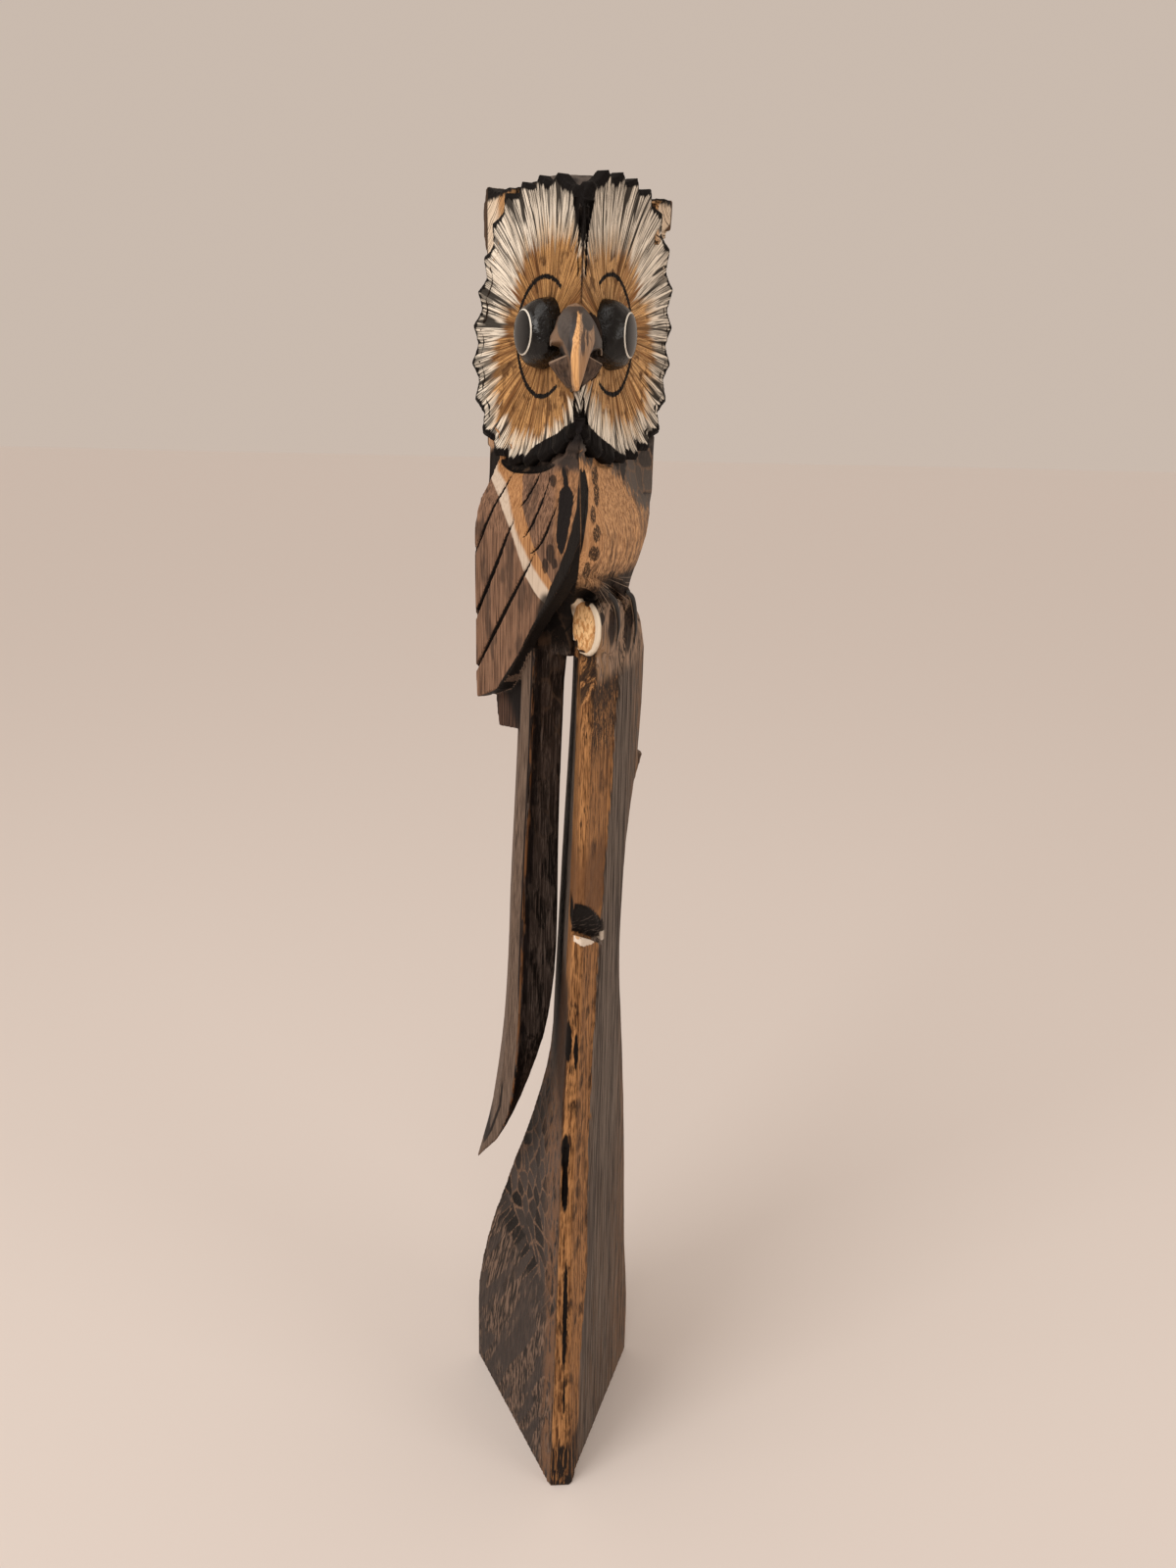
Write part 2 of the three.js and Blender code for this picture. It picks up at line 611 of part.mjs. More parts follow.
function toe({ from, over, to }) {
  const path = new THREE.QuadraticBezierCurve(
    new THREE.Vector2(...from), new THREE.Vector2(...over), new THREE.Vector2(...to),
  );
  const toeLevels = levels(0, 1, TOE_STEPS);
  const lift = through(TOE_LIFT);
  const sides = 8;
  const position = [];
  const index = [];
  for (const t of toeLevels) {
    const centre = path.getPoint(t);
    const run = path.getTangent(t);
    const r = TOE_RADIUS * (t < 0.15 ? 0.8 : 1) * (1 - 0.75 * THREE.MathUtils.smoothstep(t, 0.6, 1));
    for (let k = 0; k < sides; k += 1) {
      const angle = (2 * Math.PI * k) / sides;
      const across = r * Math.cos(angle);
      position.push(centre.x - run.y * across, centre.y + run.x * across, lift(t) + r * Math.sin(angle));
    }
  }
  for (let level = 0; level < TOE_STEPS; level += 1) {
    for (let k = 0; k < sides; k += 1) {
      const a = level * sides + k;
      const b = level * sides + ((k + 1) % sides);
      index.push(a, b, b + sides, a, b + sides, a + sides);
    }
  }
  for (let k = 1; k < sides - 1; k += 1) {
    const end = TOE_STEPS * sides;
    index.push(0, k + 1, k, end, end + k, end + k + 1);
  }
  const geometry = new THREE.BufferGeometry();
  geometry.setAttribute('position', new THREE.Float32BufferAttribute(position, 3));
  geometry.setIndex(index);
  return solid(ontoFace(geometry, 1));
}

function splinter() {
  const profile = new THREE.Shape();
  profile.moveTo(-SPLINTER.root, -SPLINTER.root);
  profile.lineTo(0, 0);
  profile.lineTo(SPLINTER.lean, SPLINTER.length);
  profile.lineTo(SPLINTER.lean - SPLINTER.tip, SPLINTER.length + 1);
  profile.lineTo(-SPLINTER.root, SPLINTER.length * 0.35);
  const leaf = new THREE.ExtrudeGeometry(profile, { depth: SPLINTER.width, bevelEnabled: false });
  leaf.rotateX(Math.PI / 2);
  leaf.translate(through(RIGHT_EDGE)(SPLINTER.z), SPLINTER.y, SPLINTER.z);
  return solid(leaf);
}

function owlTotem() {
  const shaft = join([trunk(), branch(), splinter()]).subtract(join([lipCut(), ...crackCuts()]));
  const bird = join([
    body(), tail(), wing(), underLayer(), head(), ...EARS.map(ear), ...DISCS.map(faceDisc),
    eye(-1), eye(1), beak(), ...TOES.map(toe),
  ]);
  return shaft.add(bird);
}

// The finished solid, moved so that the origin is the middle of the underside of its box
function woodGeometry(shape) {
  const { vertProperties, triVerts } = shape.getMesh();
  const geometry = new THREE.BufferGeometry();
  geometry.setAttribute('position', new THREE.Float32BufferAttribute(vertProperties, 3));
  geometry.setIndex(new THREE.Uint32BufferAttribute(triVerts, 1));
  geometry.computeBoundingBox();
  const middle = geometry.boundingBox.getCenter(new THREE.Vector3());
  geometry.translate(-middle.x, -middle.y, -geometry.boundingBox.min.z);
  geometry.computeVertexNormals();
  return geometry;
}

const paintedWood = new THREE.MeshStandardMaterial({ color: 0x6b4a30, roughness: 0.55, metalness: 0 });

const carving = new THREE.Mesh(woodGeometry(owlTotem()), paintedWood);
carving.name = 'owl_totem';

const group = new THREE.Group();
group.add(carving);

export default group;
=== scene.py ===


# %% [markdown]
# # A carved owl, painted and scorched
# The real carving is a wedge split from a log. A carver sawed the outline from the front, hollowed two
# shell-shaped face discs into the sawn faces, and gave the wood a skin of small knife cuts. Then it was
# scorched, rubbed back and painted. The packed solid already has the outline and the big forms. This
# lesson adds the skin: fine cuts as real mesh, and paint as layers of procedural colour.

# %% Load the frame
import itertools
import math

import bpy
import numpy as np
from mathutils import Matrix, Vector


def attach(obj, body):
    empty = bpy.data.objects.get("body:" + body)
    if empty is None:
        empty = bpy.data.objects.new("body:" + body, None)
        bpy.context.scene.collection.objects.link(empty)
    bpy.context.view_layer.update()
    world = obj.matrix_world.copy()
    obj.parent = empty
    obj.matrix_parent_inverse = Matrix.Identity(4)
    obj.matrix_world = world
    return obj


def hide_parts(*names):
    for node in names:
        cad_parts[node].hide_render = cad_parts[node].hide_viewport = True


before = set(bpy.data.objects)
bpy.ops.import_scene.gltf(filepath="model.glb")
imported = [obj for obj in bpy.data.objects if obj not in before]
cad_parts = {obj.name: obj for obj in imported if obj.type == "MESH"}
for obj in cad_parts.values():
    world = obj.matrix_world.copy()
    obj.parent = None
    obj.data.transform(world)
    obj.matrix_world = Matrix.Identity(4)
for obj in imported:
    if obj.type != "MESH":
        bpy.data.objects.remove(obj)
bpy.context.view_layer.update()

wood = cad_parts["owl_totem"]
print("the solid has", len(wood.data.vertices), "points")

# %% [markdown]
# ## Measuring along the sawn faces
# Everything on the carving was marked out on the two sawn faces, so the same measures are used here:
# s runs back from the sharp front edge along a face, n stands off the face, and z is the height, all
# in millimetres. The wedge's sharp edge is at x = 0, y = 0.

# %% Wedge measures
HALF_ANGLE = math.radians(22.5)
SIN, COS = math.sin(HALF_ANGLE), math.cos(HALF_ANGLE)
LOG_RADIUS = 184.0


def mesh_points(mesh):
    flat = np.empty(len(mesh.vertices) * 3, dtype=np.float32)
    mesh.vertices.foreach_get("co", flat)
    return flat.reshape(-1, 3).astype(float)


cad_points = mesh_points(wood.data) * 1000
foot = cad_points[cad_points[:, 2] < 0.5]
TO_WEDGE = np.array([-LOG_RADIUS * SIN - foot[:, 0].min(), LOG_RADIUS - foot[:, 1].max(), 0.0])


def on_face(p, side):
    """Distance back along a face and distance off it."""
    s = side * p[:, 0] * SIN + p[:, 1] * COS
    n = side * p[:, 0] * COS - p[:, 1] * SIN
    return s, n


def from_face(side, s, z, n):
    return np.stack([side * (s * SIN + n * COS), s * COS - n * SIN, z + 0 * s], axis=-1)


def to_scene(p):
    return (np.asarray(p, dtype=float) - TO_WEDGE) / 1000


def smooth(value, low, high):
    t = np.clip((value - low) / (high - low), 0, 1)
    return t * t * (3 - 2 * t)


def along(value, stations):
    where, what = zip(*stations)
    return np.interp(value, where, what)


print("the wedge's edge is at", np.round(to_scene([0, 0, 0]), 4))

# %% [markdown]
# ## Random marks that are the same each time
# A knife never repeats itself, but the script has to. A lattice of hashed numbers gives marks that
# look random and come out the same in every run. `wander` is a soft wave, `scoops` is a field of
# overlapping knife scoops with a sharp ridge where two of them meet.

# %% Wander and scoops
def lattice(cell, seed):
    mixed = np.full(cell.shape[:-1], (seed * 747796405 + 2891336453) % 2**32, dtype=np.uint32)
    for k in range(cell.shape[-1]):
        mixed = (mixed ^ cell[..., k].astype(np.int64).astype(np.uint32)) * np.uint32(0x9E3779B1)
        mixed ^= mixed >> np.uint32(15)
    mixed = mixed * np.uint32(0x85EBCA77)
    mixed ^= mixed >> np.uint32(13)
    return mixed.astype(float) / 2**32


def wander(p, size, seed):
    q = np.asarray(p, dtype=float) / np.asarray(size, dtype=float)
    cell = np.floor(q)
    part = q - cell
    part = part * part * (3 - 2 * part)
    total = np.zeros(q.shape[0])
    for corner in itertools.product((0, 1), repeat=q.shape[1]):
        weight = np.prod(np.where(np.array(corner) == 1, part, 1 - part), axis=1)
        total += weight * lattice(cell + np.array(corner), seed)
    return 2 * total - 1


def scoops(u, v, width, height, seed):
    """Distance to the nearest scoop's middle, to the ridge beside it, and the scoop's own tone."""
    q = np.stack([u / width, v / height], axis=-1)
    cell = np.floor(q)
    near = np.full(len(q), 9.0)
    second = np.full(len(q), 9.0)
    tone = np.zeros(len(q))
    for step in itertools.product((-1, 0, 1), repeat=2):
        home = cell + np.array(step)
        shift = np.stack([lattice(home, seed), lattice(home, seed + 1)], axis=-1) - 0.5
        middle = home + 0.5 + 0.8 * shift
        distance = np.linalg.norm(middle - q, axis=1)
        closer = distance < near
        second = np.where(closer, near, np.minimum(second, distance))
        tone = np.where(closer, lattice(home, seed + 2), tone)
        near = np.minimum(near, distance)
    return near, second - near, tone


print("wander of one point:", round(float(wander([[3.0, 5.0, 7.0]], 10, 1)[0]), 3))

# %% [markdown]
# ## The camera
# The photograph was taken from chest height, a little to the left of the sharp edge, looking down.
# The camera's place is given in the wedge's measures.

# %% Camera
CAMERA_PLACE = (-50.6, -748.1, 848.6)
CAMERA_HEADING = (0.0782, 0.9969)
CAMERA_PITCH = math.radians(17)
CAMERA_ROLL = math.radians(1.4)

camera = bpy.data.objects.new("camera", bpy.data.cameras.new("camera"))
bpy.context.scene.collection.objects.link(camera)
bpy.context.scene.camera = camera
camera.data.sensor_width = 36
camera.data.lens = 27
camera.data.clip_start = 0.01
flat_ahead = math.cos(CAMERA_PITCH) * Vector((*CAMERA_HEADING, 0))
ahead = flat_ahead - math.sin(CAMERA_PITCH) * Vector((0, 0, 1))
level = ahead.cross(Vector((0, 0, 1))).normalized()
upright = level.cross(ahead)
right = math.cos(CAMERA_ROLL) * level + math.sin(CAMERA_ROLL) * upright
up = math.cos(CAMERA_ROLL) * upright - math.sin(CAMERA_ROLL) * level
camera.matrix_world = Matrix((right, up, -ahead)).transposed().to_4x4()
camera.location = Vector(to_scene(CAMERA_PLACE))
print("camera at", [round(v, 3) for v in camera.location])

# %% [markdown]
# ## The floor
# The carving stands on a wide pale floor. A plane could be added from Blender's menu, but every piece
# here is made from its own points and faces, and two small helpers do it for all of them.

# %% Floor
def make_object(name, vertices, faces):
    mesh = bpy.data.meshes.new(name)
    mesh.from_pydata([tuple(v) for v in vertices], [], [tuple(f) for f in faces])
    mesh.update()
    made = bpy.data.objects.new(name, mesh)
    bpy.context.scene.collection.objects.link(made)
    return made


def ring_walls(rings, around, first=0):
    """Four-sided faces between closed rings of points, ring after ring."""
    walls = []
    for low in range(first, first + (rings - 1) * around, around):
        for i in range(around):
            j = (i + 1) % around
            walls.append((low + i, low + j, low + around + j, low + around + i))
    return walls


FLOOR_REACH = 30.0
corners = [(-1, -1), (1, -1), (1, 1), (-1, 1)]
floor = make_object("floor", [(FLOOR_REACH * x, FLOOR_REACH * y, 0) for x, y in corners], [(0, 1, 2, 3)])
floor_paint = bpy.data.materials.new("pale_floor")
floor_paint.use_nodes = True
floor_shader = floor_paint.node_tree.nodes["Principled BSDF"]
floor_shader.inputs["Base Color"].default_value = (0.66, 0.60, 0.56, 1)
floor_shader.inputs["Roughness"].default_value = 0.85
floor_shader.inputs["Specular IOR Level"].default_value = 0.15
floor.data.materials.append(floor_paint)
print("floor laid,", 2 * FLOOR_REACH, "m wide")

# %% [markdown]
# ## The light
# The real one stood in a bright room with large windows. One lamp would leave hard shadows in the
# grooves, so a pale world fills them, a wide sun gives the soft shadow on the floor, and two broad area
# lamps stand for the windows, the stronger one on the left.

# %% Lights
world = bpy.data.worlds.new("pale_room")
bpy.context.scene.world = world
world.use_nodes = True
world.node_tree.nodes["Background"].inputs["Color"].default_value = (0.62, 0.52, 0.445, 1)
world.node_tree.nodes["Background"].inputs["Strength"].default_value = 0.95
bpy.context.scene.view_settings.view_transform = "Standard"

LIGHTS = [
    {"name": "skylight", "kind": "SUN", "place": (-1.2, -1.6, 4.0), "size": 0.9, "power": 1.15},
    {"name": "window_left", "kind": "AREA", "place": (-1.7, -1.5, 1.9), "size": 1.1, "power": 26},
    {"name": "window_right", "kind": "AREA", "place": (2.0, -1.6, 1.5), "size": 1.1, "power": 13},
]
for entry in LIGHTS:
    light = bpy.data.lights.new(entry["name"], entry["kind"])
    light.energy = entry["power"]
    light.color = (1.0, 0.97, 0.94)
    if entry["kind"] == "SUN":
        light.angle = entry["size"]
    else:
        light.size = entry["size"]
    lamp = bpy.data.objects.new(entry["name"], light)
    bpy.context.scene.collection.objects.link(lamp)
    lamp.location = entry["place"]
    lamp.rotation_euler = (Vector((0, 0, 0.6)) - lamp.location).to_track_quat("-Z", "Y").to_euler()
print(len(LIGHTS), "lights")

# %% [markdown]
# ## The face discs' form
# Each disc is a shallow shell: its rim wanders in and out, two dozen scallops are cut into it, and a
# flute runs in from each scallop. These are the solid's own measures, so the fine disc lies on it.

# %% Disc measures
SCALLOPS = 24
SCALLOP_TURN = math.radians(5)
SCALLOP_DEPTH = 3.9
TIP_ROUND = 0.05
FLUTE_DEPTH = 2.4
DISH_DEPTH = 12.0
DISC_EDGE = 9.0
DISC_FLOOR = 34.0
DISCS = {
    "left_face_disc": {
        "side": -1, "s": 95, "z": 907, "rim": -5.6, "tilt": 5.6,
        "radii": [
            (-180, 98), (-150, 90), (-120, 85.5), (-88, 86.6), (-62, 97), (-45, 103), (-25, 101), (0, 95),
            (20, 89.5), (40, 92), (63, 98), (79, 94.5), (93, 93.2), (113, 97), (150, 99), (180, 98),
        ],
    },
    "right_face_disc": {
        "side": 1, "s": 97, "z": 909.5, "rim": -4, "tilt": 8,
        "radii": [
            (-180, 98), (-130, 93), (-87, 87), (-65, 91), (-42, 101), (-25, 99.5), (0, 96.5), (19, 102.5),
            (42, 107), (60, 105), (74, 98.5), (94, 94.5), (120, 98), (150, 99), (180, 98),
        ],
    },
}

print(len(DISCS), "discs with", SCALLOPS, "scallops each")

# %% [markdown]
# Straight lines between the stations would leave corners in a disc's rim, so `through` draws a smooth
# curve. The other helpers say how far out on the disc a point is and how deep the shell is there.

# %% Disc form
def through(value, stations):
    """A smooth curve through stations, as the solid's own rim is drawn."""
    where = np.array([a for a, _ in stations], dtype=float)
    what = np.array([b for _, b in stations], dtype=float)
    last = len(where) - 1
    before, after = np.maximum(np.arange(last + 1) - 1, 0), np.minimum(np.arange(last + 1) + 1, last)
    slope = (what[after] - what[before]) / (where[after] - where[before])
    i = np.clip(np.searchsorted(where, value, side="right") - 1, 0, last - 1)
    span = where[i + 1] - where[i]
    t = np.clip((value - where[i]) / span, 0, 1)
    t2, t3 = t * t, t * t * t
    return (
        (2 * t3 - 3 * t2 + 1) * what[i] + (t3 - 2 * t2 + t) * span * slope[i]
        + (3 * t2 - 2 * t3) * what[i + 1] + (t3 - t2) * span * slope[i + 1]
    )


def scallop_hollow(angle):
    """0 on a scallop's rounded tip and 1 in the hollow between two tips."""
    wave = np.sin(SCALLOPS / 2 * (angle - SCALLOP_TURN)) ** 2
    return ((wave + TIP_ROUND) ** 0.4 - TIP_ROUND**0.4) / ((1 + TIP_ROUND) ** 0.4 - TIP_ROUND**0.4)


def disc_share(disc, s, z):
    """How far out on a disc a point lies, 0 at the middle and 1 at the rim, and in which direction."""
    across, rise = s - disc["s"], z - disc["z"]
    angle = np.arctan2(rise, across)
    reach = through(np.degrees(angle), disc["radii"])
    return np.hypot(across, rise) / reach, angle


def dish_height(disc, share, angle):
    toward = smooth(share, 0.5, 1)
    dish = DISH_DEPTH * (1 - share**2) + FLUTE_DEPTH * scallop_hollow(angle) * toward
    return disc["rim"] + disc["tilt"] * share * np.cos(angle) - dish


rim_height = float(dish_height(DISCS["left_face_disc"], 1.0, 0.0))
print("the left disc's rim is", round(rim_height, 1), "mm off its face at the side")

# %% [markdown]
# ## The wood's skin
# The solid's flat facets are turned into a fine even mesh with a voxel remesh. Then every point moves
# a little along its normal. Scoops, long strokes and grooves are worked out from where the point lies.
# The discs, eyes and beak get finer pieces of their own, so the skin sinks a little beneath them.

# %% Fine mesh of the wood
VOXEL = 0.0014


def remeshed(node, name):
    rough = bpy.data.objects.new(name + "_rough", node.data.copy())
    bpy.context.scene.collection.objects.link(rough)
    change = rough.modifiers.new("even", "REMESH")
    change.mode = "VOXEL"
    change.voxel_size = VOXEL
    shown = rough.evaluated_get(bpy.context.evaluated_depsgraph_get())
    mesh = bpy.data.meshes.new_from_object(shown)
    mesh.name = name
    bpy.data.objects.remove(rough)
    made = bpy.data.objects.new(name, mesh)
    bpy.context.scene.collection.objects.link(made)
    return made


carving = remeshed(wood, "carved_wood")
print("fine mesh:", len(carving.data.vertices), "points")

# %% [markdown]
# ## The wing's grooves
# Six grooves part the feathers on the wing. A knife cut them in one pull each, so every groove is a bowed
# line that is widest past its middle and runs out at both ends. They could be cut with thin solids, but
# pushing the fine mesh in along a formula leaves softer edges.

# %% Wing grooves
FEATHER_CUTS = [
    {"from": (131, 815), "to": (183, 753), "bulge": 1.5, "half": 2.0},
    {"from": (111, 783), "to": (183, 706), "bulge": 2.0, "half": 2.6},
    {"from": (72, 763), "to": (183, 662), "bulge": -0.5, "half": 2.3},
    {"from": (82, 824), "to": (101, 795), "bulge": 2.5, "half": 1.6},
    {"from": (69, 816), "to": (85, 777), "bulge": 5.5, "half": 2.1},
    {"from": (46, 803), "to": (71, 766), "bulge": 6.0, "half": 1.9},
]


def feather_cuts(s, z):
    """1 in the middle of a groove between two feathers and 0 outside it."""
    deepest = np.zeros(len(s))
    for cut in FEATHER_CUTS:
        run = np.subtract(cut["to"], cut["from"])
        length = np.hypot(*run)
        ds, dz = s - cut["from"][0], z - cut["from"][1]
        t = (ds * run[0] + dz * run[1]) / length**2
        off = (ds * run[1] - dz * run[0]) / length - cut["bulge"] * 4 * t * (1 - t)
        half = cut["half"] * np.sqrt(np.clip(1 - (2 * t - 1.15) ** 2 / 1.4, 0, 1))
        deepest = np.maximum(
            deepest, np.clip(1 - np.abs(off) / np.maximum(half, 0.01), 0, 1) * (half > 0.05)
        )
    return deepest


print(len(FEATHER_CUTS), "grooves")

# %% [markdown]
# ## Lines on the sawn faces
# The carver worked between drawn lines: the edges of the slit, of the front band and of the wing. Each
# is kept as stations from the foot up, with the height first and the place second.

# %% Drawn lines
TRUNK_TOP = 705
TRUNK_LEFT = [
    (60, -70), (120, -61), (180, -44), (240, -24), (300, -8.5), (350, -3), (440, 0), (540, 3.4),
    (640, 7.4), (728, 8.5),
]
TAIL_RIGHT = [
    (216, -69), (265, -48), (300, -36.5), (340, -24.5), (380, -13.5), (430, -7), (550, -5.3), (633, -3.8),
    (700, -1),
]
TAIL_LEFT = [
    (216, -70), (265, -58), (300, -52.5), (350, -46.8), (410, -43.2), (480, -41), (540, -38.8),
    (610, -36), (726, -33),
]
TAIL_STRIP = [(216, 1), (300, 9), (450, 7.5), (726, 7)]
NOSE_LEFT = [(0, -9.5), (100, -7.5), (200, -6), (330, -4.5), (450, 0), (560, 3.5), (728, 5)]
BAND_EDGE = [(0, 4), (31, 10), (100, 42), (183, 58), (365, 56), (485, 66), (650, 91), (728, 112)]
WING_EDGE = [
    (640, 181), (655, 138), (675, 112), (709, 77), (735, 44), (758, 17), (777, 4), (795, 0.5), (826, 7),
    (838, 24),
]
NECK_SLOPE = [(760, 0), (788, -2), (812, -8.5), (830, -11.5), (850, -13)]


def split_between(z):
    """The middle of the slit between the tail and the trunk."""
    return 0.5 * (along(z, TAIL_RIGHT) + along(z, TRUNK_LEFT))


slit_width = along(265, TRUNK_LEFT) - along(265, TAIL_RIGHT)
print("the slit is", round(float(slit_width), 1), "mm wide at 265 mm up")

# %% [markdown]
# ## Knife marks
# The knife left different marks in each place: round scoops on the flare, long ones on the front band
# and the tail, broad ones under the head. Sculpting them by hand would take days, and one noise for all
# would look like plaster. So each place is a soft mask times its own field of scoops.

# %% Knife marks
GROOVE_DEPTH, FIBRE_DEPTH, BARK_DEPTH = 3.2, 0.12, 0.5


def knife_marks(p, normal):
    """Depth in mm (negative goes in), distance to the nearest ridge, and each scoop's tone."""
    x, y, z = p.T
    s_left, n_left = on_face(p, -1)
    s_right, _ = on_face(p, 1)
    facing_left = smooth(normal @ np.array([-COS, -SIN, 0]), 0.45, 0.8)
    facing_right = smooth(normal @ np.array([COS, -SIN, 0]), 0.55, 0.85)
    facing_front = smooth(-normal[:, 1], 0.15, 0.45)
    sideways = smooth(-normal[:, 0], 0.3, 0.6)
    bark = smooth(np.hypot(x, y), 180.5, 183)
    trunk = smooth(x - split_between(z), -0.5, 0.5) * smooth(z, TRUNK_TOP + 6, TRUNK_TOP - 6)
    tail = smooth(split_between(z) - x, -0.5, 0.5) * smooth(z, 712, 696) * smooth(z, 200, 214)
    wing = (
        smooth(s_left - along(z, WING_EDGE), 0, 4)
        * smooth(n_left - np.minimum(0, along(z, NECK_SLOPE)), -2.2, -1.0)
    )
    wing = wing * facing_left * smooth(z, 632, 640) * smooth(-x, 0, 2)
    band = trunk * smooth(along(z, BAND_EDGE) - s_right, -1, 2) * smooth(x - along(z, NOSE_LEFT), -1, 3)
    flare = trunk * smooth(along(z, NOSE_LEFT) - x, -1, 1.5) * sideways * smooth(z, 352, 330)
    breast = facing_right * smooth(z, 728, 745) * smooth(z, 838, 828) * smooth(x, 0.5, 4)
    flank = smooth(z, 684, 700) * smooth(z, 835, 800) * smooth(-n_left, 2, 5) * smooth(-x, -4, 1)
    side = trunk * facing_right * smooth(s_right - along(z, BAND_EDGE), 1, 4)
    tail_front = tail * facing_front * smooth(x - along(z, TAIL_LEFT) - along(z, TAIL_STRIP), -1, 2)
    fields = [
        (flare * smooth(z, 168, 186), scoops(y + 3 * wander(p, 30, 5), z, 23, 12, 11), 1.5),
        (flare * smooth(z, 186, 168), scoops(y + 0.55 * z, z, 9, 46, 12), 1.1),
        (band, scoops(s_right - 1.2 * x, z, 7.5, 21, 13), 0.8),
        (tail_front, scoops(x + 0.10 * z, z, 8.5, 25, 14), 1.5),
        (breast * smooth(z, 792, 806), scoops(s_right, z, 15, 17, 15), 1.2),
        (breast * smooth(z, 806, 792), scoops(s_right, z, 13, 26, 16), 0.7),
        (flank * (1 - wing), scoops(s_left, z + 0.6 * s_left, 13, 24, 17), 1.1),
        (wing * smooth(z, 786, 800), scoops(s_left, z, 14, 18, 18), 0.8),
        (wing * smooth(z, 800, 786), scoops(s_left, z, 9, 60, 19), 0.35),
        (side, scoops(s_right, z, 6, 90, 20), 0.25),
    ]
    depth = np.zeros(len(p))
    ridge = np.ones(len(p))
    tone = np.full(len(p), 0.5)
    for mask, (near, beside, own), cut in fields:
        live = mask * (1 - bark)
        depth += live * cut * (np.clip(near, 0, 0.9) ** 2 - 0.45)
        ridge = np.where(live > 0.4, beside, ridge)
        tone = np.where(live > 0.4, own, tone)
    depth -= GROOVE_DEPTH * wing * (1 - bark) * np.minimum(1, 1.6 * feather_cuts(s_left, z))
    depth += FIBRE_DEPTH * (1 - bark) * wander(p, (3.0, 3.0, 60.0), 21)
    depth += BARK_DEPTH * bark * wander(p, (9.0, 30.0, 120.0), 22)
    return depth, ridge, tone


print("marks with", GROOVE_DEPTH, "mm grooves")

# %% [markdown]
# Where a disc or the beak will lie on top, the skin has to step back, or it would show through. The
# marks are then pushed into the mesh. The underside stays flat, so that the carving stands well.

# %% Cut the marks
def under_pieces(p):
    """Where the discs and eyes lie on the wood, and where the beak does."""
    x, y, z = p.T
    cover = np.zeros(len(p))
    for disc in DISCS.values():
        s, n = on_face(p, disc["side"])
        share, angle = disc_share(disc, s, z)
        inside = smooth(share, 1.03, 1.0)
        rim = smooth(share, 1.08, 1.04) * smooth(n, -10.6, -9.8)
        own = smooth(disc["side"] * x, -3, 0) * smooth(z, 812, 818)
        cover = np.maximum(
            cover, own * np.maximum(inside * smooth(n - dish_height(disc, share, angle), -9, -6), rim)
        )
    nose = smooth(z, 852, 860) * smooth(z, 940, 932) * smooth(y, 66, 58)
    return cover, nose


def mesh_normals(mesh):
    flat = np.empty(len(mesh.vertices) * 3, dtype=np.float32)
    mesh.vertex_normals.foreach_get("vector", flat)
    return flat.reshape(-1, 3).astype(float)


DISC_ROOM, BEAK_ROOM = 4.5, 6.0
points = mesh_points(carving.data) * 1000 + TO_WEDGE
normals = mesh_normals(carving.data)
depth, _, _ = knife_marks(points, normals)
cover, nose = under_pieces(points)
flat_base = smooth(points[:, 2], 0.6, 3.0)
points += normals * ((depth * (1 - cover) - DISC_ROOM * cover) * flat_base)[:, None]
points[:, 1] += BEAK_ROOM * nose
points[:, 2] = np.where(flat_base > 0, points[:, 2], 0.0)
carving.data.vertices.foreach_set("co", to_scene(points).astype(np.float32).ravel())
carving.data.update()
print("knife marks go", round(float(-depth.min()), 2), "mm deep")

# %% [markdown]
# The even mesh has far more triangles than the plain faces need. Decimating merges them where the
# surface is flat and leaves them where the knife went. The paint's measures are stored afterwards.

# %% Thin the mesh and store measures
MOST_TRIANGLES = 190000


def thinned(piece, most):
    triangles = sum(len(f.vertices) - 2 for f in piece.data.polygons)
    change = piece.modifiers.new("thin", "DECIMATE")
    change.ratio = min(1.0, most / triangles)
    shown = piece.evaluated_get(bpy.context.evaluated_depsgraph_get())
    mesh = bpy.data.meshes.new_from_object(shown)
    old = piece.data
    piece.modifiers.clear()
    piece.data = mesh
    bpy.data.meshes.remove(old)


def store(piece, name, values):
    layer = piece.data.attributes.new(name, "FLOAT", "POINT")
    layer.data.foreach_set("value", np.asarray(values, dtype=np.float32))


def shade_smooth(piece):
    piece.data.polygons.foreach_set("use_smooth", np.ones(len(piece.data.polygons), dtype=bool))
    piece.data.update()


thinned(carving, MOST_TRIANGLES)
points, normals = mesh_points(carving.data) * 1000 + TO_WEDGE, mesh_normals(carving.data)
_, ridge, tone = knife_marks(points, normals)
store(carving, "ridge", ridge)
store(carving, "tone", tone)
# Which points look down; the paint uses it for painted shade in the notch.
store(carving, "under", smooth(-normals[:, 2], 0.12, 0.30))
shade_smooth(carving)
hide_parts("owl_totem")
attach(carving, "root")
print("carved wood:", len(carving.data.polygons), "faces")

# %% [markdown]
# ## The face discs
# A disc is carved along its radii, so its mesh is a polar grid: rings from the middle to the rim,
# spokes all round. That puts edges along every flute and cut. A spoke that meets the other disc at
# the middle of the face stops there, and makes the sharp ridge between the eyes.

# %% Cuts along the radii
SPOKES = 1680
SHARES = np.concatenate([np.linspace(0.022, 0.93, 38), np.linspace(0.942, 1.0, 8)])
ROLL_DROP = 1.9


def round_lines(angle, share, turns, step, seed):
    """Noise that runs out along the radii: as many cells round the disc as turns."""
    reach = turns / (2 * math.pi)
    return wander(np.stack([np.cos(angle) * reach, np.sin(angle) * reach, share * step], axis=-1), 1, seed)


